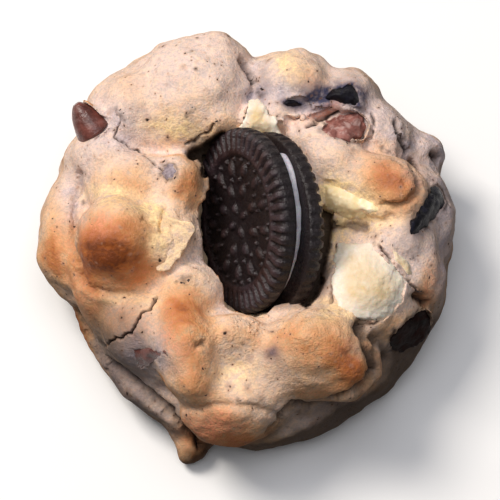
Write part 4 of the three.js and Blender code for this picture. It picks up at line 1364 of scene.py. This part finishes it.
@dataclass
class Biscuit:
    """The sandwich biscuit that stands on edge in the hole: two ribbed wafers and the cream between them."""

    radius: float = 13.75
    wafer: float = 2.7
    cream: float = 1.7
    cream_radius: float = 12.9
    cream_full: float = math.radians(110)  # where the cream comes nearest to the wafers' edge
    cream_short: float = math.radians(170)  # the middle of the part where it falls short of that
    centre: Place = (1.25, 1.0, 18.5)
    face_azimuth: float = math.radians(193.5)
    face_elevation: float = math.radians(26.4)
    ribs: int = 48
    rib_height: float = 0.5
    scallop: float = 0.22
    bead_height: float = 0.6
    slid: tuple[float, float] = (0.95, 0.3)  # how far the sunk wafer has slid, to the front and up
    steps: int = 576
    # The rounded edge of a wafer: how far in from the rim each ring is, and how high
    edge: Outline = ((0.5, 0.0), (0.2, 0.12), (0.06, 0.5), (0.0, 1.0), (0.0, 1.4), (0.06, 1.8), (0.2, 2.15),
                     (0.42, 2.45), (0.7, 2.62))
    # How far in from the rim the ribs fade out and are full, and where the raised line starts and ends
    rib_foot: tuple[float, float] = (3.35, 2.7)
    line: tuple[float, float, float, float] = (4.15, 3.9, 3.5, 3.2)
    panel: float = 3.85  # how far in from the rim the beaded panel ends
    # Rings of low beads on the shown face: ring radius, number, half length, half width, first angle
    beads: tuple[tuple[float, int, float, float, float], ...] = (
        (7.8, 13, 1.25, 0.75, 0.0), (4.7, 8, 1.0, 0.8, 0.0), (1.9, 4, 0.85, 0.65, 0.0),
        (9.1, 26, 0.35, 0.35, 0.12), (6.2, 16, 0.32, 0.32, 0.2),
    )

    def place(self) -> Matrix:
        """The turn and place of the biscuit, whose own frame has the shown face up."""
        level = math.cos(self.face_elevation)
        face = Vector((level * math.cos(self.face_azimuth), level * math.sin(self.face_azimuth),
                       math.sin(self.face_elevation)))
        top = (Vector((0, 0, 1)) - face * face.z).normalized()
        side = top.cross(face)
        turn = Matrix((side, top, face)).transposed().to_4x4()
        return Matrix.Translation(self.centre) @ turn

    def wafer_solid(self, name: str, beaded: bool) -> Piece:
        """Makes one wafer that stands on its flat inner face.

        Args:
            name: The new object's name.
            beaded: Whether its face has the raised line and the beads.

        Returns:
            The wafer, in millimetres, in its own frame.
        """
        top, radius = self.wafer, self.radius
        edge = [(radius - inset, height) for inset, height in self.edge]
        face = [(r, top) for r in np.arange(radius - 0.95, 0.3, -0.27)]
        piece = turned_solid(name, [(radius - 3.0, 0.0), *edge, *face], self.steps)
        points = points_of(piece)
        r, angle = np.hypot(points[:, 0], points[:, 1]), np.arctan2(points[:, 1], points[:, 0])
        shown = step(points[:, 2], top - 0.9, top - 0.2)
        wave = 0.5 + 0.5 * np.cos(angle * self.ribs + 0.12 * np.sin(angle * 5))
        rib = step(wave, 0.12, 0.62)
        ribbed = step(r, *(radius - inset for inset in self.rib_foot)) * shown
        dip = self.rib_height * (1 - rib) * ribbed
        if beaded:
            start, full, fading, end = (radius - inset for inset in self.line)
            line = step(r, start, full) * (1 - step(r, fading, end))
            inner = (1 - step(r, start, radius - self.panel)) * shown
            dip += 0.1 * line * shown + self.bead_height * inner * (1 - self.pressed(points))
        rise = noise_at(points, 1.6, 51.0) * 0.05 + noise_at(points, 0.7, 52.0) * 0.03
        points[:, 2] += (rise * shown) - dip
        shrink = self.scallop * (1 - rib) * step(r, radius - 1.0, radius - 0.3) * step(points[:, 2], 0.1, 0.6)
        points[:, :2] *= (1 - (shrink + noise_at(points, 1.1, 53.0) * 0.05) / np.maximum(r, 1.0))[:, None]
        move_points(piece, points)
        # How far each point stands up; the wafer's material turns it into painted light on the raised parts
        # and painted shade in the hollows
        paint(piece, "raised", np.clip(1 - dip / self.rib_height, 0, 1) * shown)
        return piece

    def pressed(self, points: Array) -> Array:
        """How high the beads stand at each point of the face, from 0 to 1."""
        height = np.zeros(len(points))
        for ring, count, long, wide, first in self.beads:
            for i in range(count):
                angle = first + i / count * math.tau
                along = points[:, 0] * math.cos(angle) + points[:, 1] * math.sin(angle) - ring
                across = points[:, 1] * math.cos(angle) - points[:, 0] * math.sin(angle)
                height = np.maximum(height, 1 - (along / long) ** 2 - (across / wide) ** 2)
        return np.sqrt(np.clip(height, 0, 1)) * 0.9

    def cream_solid(self) -> Piece:
        """Makes the cream, whose edge is uneven and stands back from the wafers."""
        half = self.cream / 2
        radius = self.cream_radius
        profile = [(radius - 1.0, -half), *((radius + 0.25 * math.cos(t), half * math.sin(t))
                                            for t in np.linspace(-1.2, 1.2, 9)), (radius - 1.0, half)]
        piece = turned_solid("biscuit_cream", profile, 240)
        points = points_of(piece)
        angle = np.arctan2(points[:, 1], points[:, 0])
        full = np.exp(-((np.angle(np.exp(1j * (angle - self.cream_full))) / 0.55) ** 2))
        hidden = np.abs(np.angle(np.exp(1j * (angle - self.cream_short))))
        out = 0.8 * full - 1.3 - 1.2 * (1 - step(hidden, math.radians(46), math.radians(56)))
        out += 0.12 * np.sin(angle * 7) + noise_at(points, 1.8, 61.0) * 0.25
        r = np.hypot(points[:, 0], points[:, 1])
        points[:, :2] *= (1 + out * step(r, radius - 2, radius) / np.maximum(r, 1.0))[:, None]
        move_points(piece, points)
        return piece

    def build(self, cocoa: Material, cream: Material) -> None:
        """Builds and dresses the two wafers and the cream.

        Args:
            cocoa: The wafers' material.
            cream: The cream's material.
        """
        place = self.place()
        shown = self.wafer_solid("biscuit_wafer_shown", beaded=True)
        shown.data.transform(place @ Matrix.Translation((0, 0, self.cream / 2)))
        finish_piece(shown, "cocoa_wafer", cocoa, "wafer_shown")
        sunk = self.wafer_solid("biscuit_wafer_sunk", beaded=False)
        flip = Matrix.Rotation(math.pi, 4, "X")
        sunk.data.transform(place @ Matrix.Translation((*self.slid, -self.cream / 2)) @ flip)
        finish_piece(sunk, "cocoa_wafer", cocoa, "wafer_sunk")
        filling = self.cream_solid()
        filling.data.transform(place)
        finish_piece(filling, "vanilla_cream", cream, "cream")


# Pieces sunk into the dough


@dataclass(frozen=True)
class Nugget:
    """A broken piece of chocolate or biscuit that is sunk in the dough.

    The outline and the ridge are in the plane that the photograph looks at. level is about how far
    towards the camera the dough's skin is there, proud how far the piece stands above it, and crown how
    much its middle swells. round is the radius of its edges, melt how often it is smoothed, lump and
    lump_size how high and wide its bumps are, rim how dark the painted shade along the broken line round
    it is, and bed how deep the dough is pressed in under it, if it is. It reaches deep below the skin. The
    ridge is a line from which both sides fall away with the given slope.
    """

    name: str
    node: str
    outline: Outline
    level: float
    proud: float
    crown: float
    round: float
    melt: int
    lump: float
    rim: float
    bed: float
    deep: float = 3.0
    ridge: Outline = ()
    slope: float = 0.0
    lump_size: float = 1.6
    voxel: float = 0.2

    def near(self, points: Array, sure: float = 3.0, never: float = 5.0) -> Array:
        """Whether points lie at the piece's level: 1 up to sure millimetres from it, 0 from never on."""
        return 1.0 - step(np.abs(points @ LOOK_WAY - self.level), sure, never)

    def build(self, slot: str, material: Material, sheet: Array) -> None:
        """Builds and dresses the piece.

        Args:
            slot: The record's material slot.
            material: The piece's material.
            sheet: The six numbers of the sheet that the dough's skin follows there.
        """
        piece = slab(self.name, self.outline, -self.deep, self.proud)
        apply_modifier(piece, "BEVEL", width=self.round, segments=4, limit_method="ANGLE",
                       angle_limit=math.radians(15))
        remesh(piece, self.voxel)
        soften(piece, self.melt)
        points, normals = points_of(piece), normals_of(piece)
        seed = self.level + self.outline[0][0]
        rise = self.lump * noise_at(points, self.lump_size, seed)
        rise += 0.3 * self.lump * noise_at(points, 0.5, seed + 1)
        points += normals * rise[:, None]
        inside = -outside(points[:, :2], self.outline)
        high = step(points[:, 2], -self.deep, 0.0)
        points[:, 2] += high * self.crown * step(inside, 0.0, 0.8 * inside.max())
        if self.ridge:
            (u0, v0), (u1, v1) = self.ridge
            across = np.array([v1 - v0, u0 - u1]) / math.hypot(u1 - u0, v1 - v0)
            points[:, 2] -= high * self.slope * np.abs((points[:, :2] - np.array([u0, v0])) @ across)
        paint_at = step(inside, 0.12 * inside.max(), 0.6 * inside.max())
        points[:, 2] += Skin.sheet(points[:, :2]) @ sheet
        world = points @ np.array(LOOK_FRAME.to_3x3()).T
        points[:, :2] -= Dough.shaken(world) - seen_plane(world)
        move_points(piece, points)
        piece.data.transform(LOOK_FRAME)
        paint(piece, "centre", paint_at)
        finish_piece(piece, slot, material, *filter(None, [self.node]))


# The sunk pieces by material slot and finish
NUGGETS: dict[tuple[str, str], tuple[Nugget, ...]] = {
    ("milk_chocolate", "bloomed_milk_chocolate"): (
        Nugget("milk_chunk", "milk_chunk_right", (
            (10.6, 20.8), (12.0, 21.9), (13.8, 22.9), (16.2, 23.6), (17.6, 22.8), (17.9, 21.2), (16.9, 19.6),
            (14.8, 19.0), (12.2, 19.6)),
            18.0, proud=0.8, crown=0.7, ridge=((13.4, 23.8), (14.4, 19.4)), slope=0.2, round=0.5, melt=8,
            lump=0.5, lump_size=1.8, rim=0.5, bed=1.0),
    ),
    ("milk_chocolate", "milk_chocolate"): (
        Nugget("milk_shard", "milk_patch_left", (
            (-16.6, -11.5), (-14.6, -11.3), (-11.5, -11.9), (-13.8, -13.6), (-15.7, -14.8), (-16.4, -13.2)),
            25.0, proud=0.12, crown=0.1, round=0.15, melt=2, lump=0.2, lump_size=1.0, rim=0.3, bed=0.5),
    ),
    ("dark_chocolate", "dark_chocolate"): (
        Nugget("dark_chunk", "dark_chunk_low", (
            (20.6, -11.2), (20.9, -9.6), (23.2, -7.4), (26.2, -5.8), (27.4, -7.4), (26.2, -10.8),
            (22.6, -12.4)),
            20.5, proud=0.1, crown=0.3, round=0.5, melt=6, lump=0.4, deep=4.0, rim=1.0, bed=1.2),
    ),
    ("white_chocolate", "white_chocolate"): (
        Nugget("white_lozenge", "white_chunk_right", (
            (13.4, 4.0), (18.2, 3.6), (20.8, 1.0), (23.4, -1.8), (22.8, -4.4), (19.8, -7.6), (15.8, -7.0),
            (13.0, -5.2), (12.2, -2.8), (12.6, 0.6)),
            26.0, proud=0.0, crown=0.05, round=0.15, melt=5, lump=0.14, lump_size=2.6, rim=0.15, bed=0.5),
        Nugget("white_streak", "", (
            (20.6, 3.6), (22.0, 2.6), (24.6, -0.6), (24.6, -1.8), (23.2, -1.0), (21.4, 1.4)),
            25.0, proud=-0.1, crown=0.35, round=0.3, melt=8, lump=0.2, rim=0.0, bed=0.0, deep=1.6),
        Nugget("white_nub", "white_chunk_back", (
            (-1.6, 18.2), (-1.3, 20.8), (-0.6, 23.0), (0.5, 25.1), (1.7, 25.4), (3.2, 23.5), (4.6, 21.2),
            (5.3, 18.8)),
            16.5, proud=1.2, crown=0.5, round=0.7, melt=6, lump=0.35, lump_size=1.4, deep=5.0, rim=0.0,
            bed=0.9),
    ),
    ("white_chocolate", "melted_white_chocolate"): (
        Nugget("white_melt", "white_melt_right", (
            (11.2, 12.6), (13.6, 12.4), (17.2, 10.8), (20.2, 9.2), (20.8, 7.9), (17.8, 7.4), (14.6, 7.6),
            (12.0, 8.2), (11.0, 10.0)),
            18.6, proud=0.0, crown=1.0, round=0.8, melt=16, lump=0.4, lump_size=2.4, deep=4.0, rim=0.0,
            bed=0.0),
    ),
    ("cocoa_crumb", "black_cocoa_crumb"): (
        Nugget("cocoa_shard_back", "cocoa_bit_back", (
            (10.6, 25.7), (12.2, 26.5), (13.6, 27.5), (14.8, 28.0), (16.0, 27.5), (16.8, 26.2), (16.8, 25.0),
            (16.0, 24.1), (13.6, 24.7)),
            17.0, proud=0.1, crown=0.9, round=0.7, melt=14, lump=0.3, lump_size=1.5, rim=0.2, bed=0.5),
        Nugget("cocoa_shard_right", "cocoa_bit_right", (
            (27.2, 12.0), (28.3, 12.4), (29.3, 11.6), (29.6, 9.8), (28.7, 8.5), (24.9, 5.0), (23.8, 5.2),
            (24.1, 6.9)),
            16.0, proud=0.7, crown=0.9, ridge=((28.2, 11.4), (24.6, 4.8)), slope=0.35, round=0.5, melt=8,
            lump=0.26, lump_size=1.2, rim=0.9, bed=1.2),
        Nugget("cocoa_shard_mouth", "cocoa_bit_mouth", (
            (5.2, 24.6), (6.0, 25.2), (7.6, 25.1), (8.2, 24.4), (6.8, 24.0), (5.6, 24.1)),
            16.5, proud=0.15, crown=0.35, round=0.25, melt=5, lump=0.2, lump_size=0.9, voxel=0.14, deep=2.0,
            rim=0.0, bed=0.0),
    ),
    ("cocoa_crumb", "grey_cocoa_crumb"): (
        Nugget("grey_crumb", "", (
            (-12.8, 14.0), (-12.4, 15.2), (-11.0, 15.6), (-10.2, 14.6), (-10.7, 13.4), (-12.0, 13.1)),
            20.0, proud=0.1, crown=0.3, round=0.2, melt=3, lump=0.3, lump_size=0.8, voxel=0.16, deep=1.6,
            rim=0.7, bed=0.3),
    ),
}


def every_nugget() -> list[Nugget]:
    """All the sunk pieces."""
    return [nugget for group in NUGGETS.values() for nugget in group]


@dataclass
class ChocolateDrop:
    """The moulded drop that is stuck on the left shoulder, its tip up and outwards."""

    at: Place = (-22.8, 14.4, 20.2)
    radius: float = 2.9
    height: float = 5.4
    way: Place = (-0.58, 0.66, 0.48)
    bend: float = 0.35  # how far its tip leans over, in millimetres
    rings: int = 22

    def build(self, material: Material) -> None:
        """Turns the drop, leans its tip and sets it in place."""
        profile = [(self.radius * 0.6, -0.25), (self.radius * 0.9, -0.15), (self.radius, 0.15)]
        for i in range(1, self.rings):
            share = i / self.rings
            narrowing = math.sqrt(1 - share**1.7)
            profile.append((self.radius * narrowing * (1 - 0.25 * share), self.height * share))
        piece = turned_solid("milk_drop", profile, 72)
        points = points_of(piece)
        points[:, 0] += self.bend * (np.maximum(points[:, 2], 0) / self.height) ** 3
        rise = 0.1 * noise_at(points, 1.8, 71.0) + 0.03 * noise_at(points, 0.6, 72.0)
        points += normals_of(piece) * rise[:, None]
        move_points(piece, points)
        turn = Vector((0, 0, 1)).rotation_difference(Vector(self.way).normalized())
        piece.data.transform(Matrix.Translation(self.at) @ turn.to_matrix().to_4x4())
        finish_piece(piece, "milk_chocolate", material, "milk_chip_left")


@dataclass
class Crumbs:
    """Small loose and sunk crumbs: one is modelled, and its copies are stamped on the skin."""

    skin: Skin
    # The broken rim of the hole at the front, where pale crumbs stand
    rim: Outline = ((-2.6, -5.6), (0.8, -8.0), (2.6, -8.0), (3.8, -7.0), (5.4, -6.3), (9.2, -5.9),
                    (10.8, -5.2))
    each: int = 22
    fine_specks: int = 640
    low: float = 3.0  # no speck lies lower than this, in millimetres
    rng: np.random.Generator = field(default_factory=lambda: np.random.default_rng(7))

    def stamp(self, name: str, places: Array, sizes: Array, sink: float) -> Piece:
        """Stamps a crumb on each place.

        Args:
            name: The new object's name.
            places: Which of the skin's points carry a crumb.
            sizes: Half the size of each, in millimetres.
            sink: How deep a crumb is sunk, as a share of its half size.

        Returns:
            All the crumbs as one object, in millimetres.
        """
        bpy.ops.object.select_all(action="DESELECT")
        bpy.ops.mesh.primitive_ico_sphere_add(subdivisions=1, radius=1.0)
        crumb = bpy.context.object
        crumb.name = name
        shape = points_of(crumb)
        faces = np.array([list(face.vertices) for face in crumb.data.polygons])
        all_points, all_faces = [], []
        for i, (place, size) in enumerate(zip(places, sizes)):
            broken = shape * (1 + 0.45 * noise_at(shape, 0.9, 80.0 + i))[:, None]
            spin, _ = np.linalg.qr(self.rng.normal(size=(3, 3)))
            stretch = self.rng.uniform(0.6, 1.25, 3)
            way = self.skin.normals[place]
            at = self.skin.points[place] - way * size * sink
            turned = (broken * stretch) @ (spin * np.sign(np.linalg.det(spin))) * size
            turned -= np.outer(turned @ way, way) * 0.5
            all_points.append(turned + at)
            all_faces.append(faces + i * len(shape))
        mesh = bpy.data.meshes.new(name)
        mesh.from_pydata(np.concatenate(all_points).tolist(), [], np.concatenate(all_faces).tolist())
        crumb.data = mesh
        return crumb

    def build(self, cocoa: Material, dough: Material) -> None:
        """Scatters the dark specks that show one by one, finer ones between them, and pale crumbs at the rim.

        Args:
            cocoa: The dark crumbs' material.
            dough: The pale crumbs' material.
        """
        spots = [self.skin.under(spot[:2]) for spot in SPOTS]
        high = np.flatnonzero(self.skin.points[:, 2] > self.low)
        extra = self.rng.choice(high, self.fine_specks, replace=False)
        places = np.concatenate([spots, extra])
        halves = np.concatenate([[spot[2] for spot in SPOTS], self.rng.uniform(0.07, 0.19, len(extra))])
        dark = self.stamp("cocoa_specks", places, halves, 0.45)
        finish_piece(dark, "cocoa_crumb", cocoa)
        rim = []
        for start, end in zip(self.rim, self.rim[1:]):
            for share in self.rng.uniform(0, 1, self.each):
                middle = np.array(start) * (1 - share) + np.array(end) * share
                rim.append(self.skin.under(tuple(middle + self.rng.normal(0, 0.45, 2))))
        pale = self.stamp("rim_crumbs", np.array(rim), self.rng.uniform(0.18, 0.42, len(rim)), 0.3)
        for mark, values in self.skin.marks.items():
            paint(pale, mark.value, np.repeat(values[rim], len(pale.data.vertices) // len(rim)))
        finish_piece(pale, "baked_dough", dough)


# The studio


@dataclass
class Studio:
    """The pale floor, the soft light from the upper left, and the photograph's camera."""

    target: Place = (0.37, -2.46, 15.0)
    distance: float = 350.0
    pixels_per_mm: float = 6.7
    image: float = 500.0
    sensor: float = 36.0
    lit_height: float = 0.012
    # The soft lights: name, place and side in metres, watts and colour
    lamps: tuple[tuple[str, tuple[float, float, float], float, float, str], ...] = (
        ("window_light", (-0.26, 0.18, 0.47), 0.2, 2.75, "#fff7ee"),
        ("overhead_light", (0.0, 0.03, 0.60), 0.40, 1.2, "#f8f8ff"),
    )

    def camera(self) -> None:
        """Puts the camera at the photograph's angle."""
        data = bpy.data.cameras.new("photograph_camera")
        camera = bpy.data.objects.new("photograph_camera", data)
        bpy.context.scene.collection.objects.link(camera)
        data.sensor_width = self.sensor
        data.lens = self.sensor * self.distance / (self.image / self.pixels_per_mm)
        data.clip_start, data.clip_end = 0.01, 10.0
        back = Vector(LOOK_WAY)
        camera.location = (Vector(self.target) + back * self.distance) * MM
        camera.rotation_euler = (-back).to_track_quat("-Z", "Y").to_euler()
        bpy.context.scene.camera = camera

    def light(self, name: str, at: Place, size: float, watts: float, colour: str) -> None:
        """Hangs a soft square light that looks at the cookie.

        Args:
            name: The light's name.
            at: Its place, in metres.
            size: The length of its side, in metres.
            watts: Its power.
            colour: Its sRGB colour.
        """
        data = bpy.data.lights.new(name, "AREA")
        data.size, data.energy, data.color = size, watts, linear(colour)[:3]
        lamp = bpy.data.objects.new(name, data)
        bpy.context.scene.collection.objects.link(lamp)
        lamp.location = at
        way = Vector((0, 0, self.lit_height)) - Vector(at)
        lamp.rotation_euler = way.to_track_quat("-Z", "Y").to_euler()

    def floor(self) -> None:
        """Lays the plain pale floor. It throws no light back, because the photograph's walls are dark."""
        bpy.ops.object.select_all(action="DESELECT")
        bpy.ops.mesh.primitive_plane_add(size=4.0, location=(0, 0, 0))
        ground = bpy.context.object
        ground.name = "studio_floor"
        ground.visible_diffuse = False
        material = bpy.data.materials.new("matt_white_board")
        material.use_nodes = True
        tree = material.node_tree
        plug(tree, tree.nodes["Principled BSDF"], {"Base Color": linear("#f6f6f5"), "Roughness": 0.9})
        ground.data.materials.append(material)

    def sky(self) -> None:
        """Fills the room with soft light that comes from above alone."""
        world = bpy.data.worlds.new("soft_room")
        world.use_nodes = True
        tree = world.node_tree
        add = partial(add_node, tree)
        height = add("SeparateXYZ", {0: add("TexCoord").outputs["Generated"]}).outputs["Z"]
        strength = add("MapRange", {"Value": height, 1: 0.1, 2: 0.9, 3: 0.03, 4: 0.33})
        plug(tree, tree.nodes["Background"], {"Color": linear("#f3f4f8"), "Strength": strength})
        bpy.context.scene.world = world

    def build(self) -> None:
        """Builds the studio."""
        self.camera()
        self.floor()
        self.sky()
        for lamp in self.lamps:
            self.light(*lamp)
        bpy.context.scene.view_settings.view_transform = "Standard"


def main() -> None:
    """Builds every piece of the cookie, then the studio round it."""
    logging.basicConfig(level=logging.INFO, format="%(message)s")
    finishes = {finish.name: finish.make() for finish in (
        DOUGH_FINISH, WAFER_FINISH, CREAM_FINISH, MILK_FINISH, BLOOMED_FINISH, DARK_FINISH, WHITE_FINISH,
        MELT_FINISH, CRUMB_FINISH, GREY_FINISH, SPECK_FINISH)}
    maker = Dough()
    dough = maker.build(finishes["baked_butter_dough"])
    marks = {mark: painted_on(dough, mark.value) for mark in Mark}
    skin = Skin(points_of(dough) / MM, normals_of(dough), marks)
    Biscuit().build(finishes["black_cocoa_wafer"], finishes["vanilla_cream"])
    ChocolateDrop().build(finishes["milk_chocolate"])
    for (slot, finish), nuggets in NUGGETS.items():
        for nugget in nuggets:
            nugget.build(slot, finishes[finish], maker.sheets[nugget.name])
    Crumbs(skin).build(finishes["brown_cocoa_speck"], finishes["baked_butter_dough"])
    Studio().build()


if __name__ == "__main__":
    main()
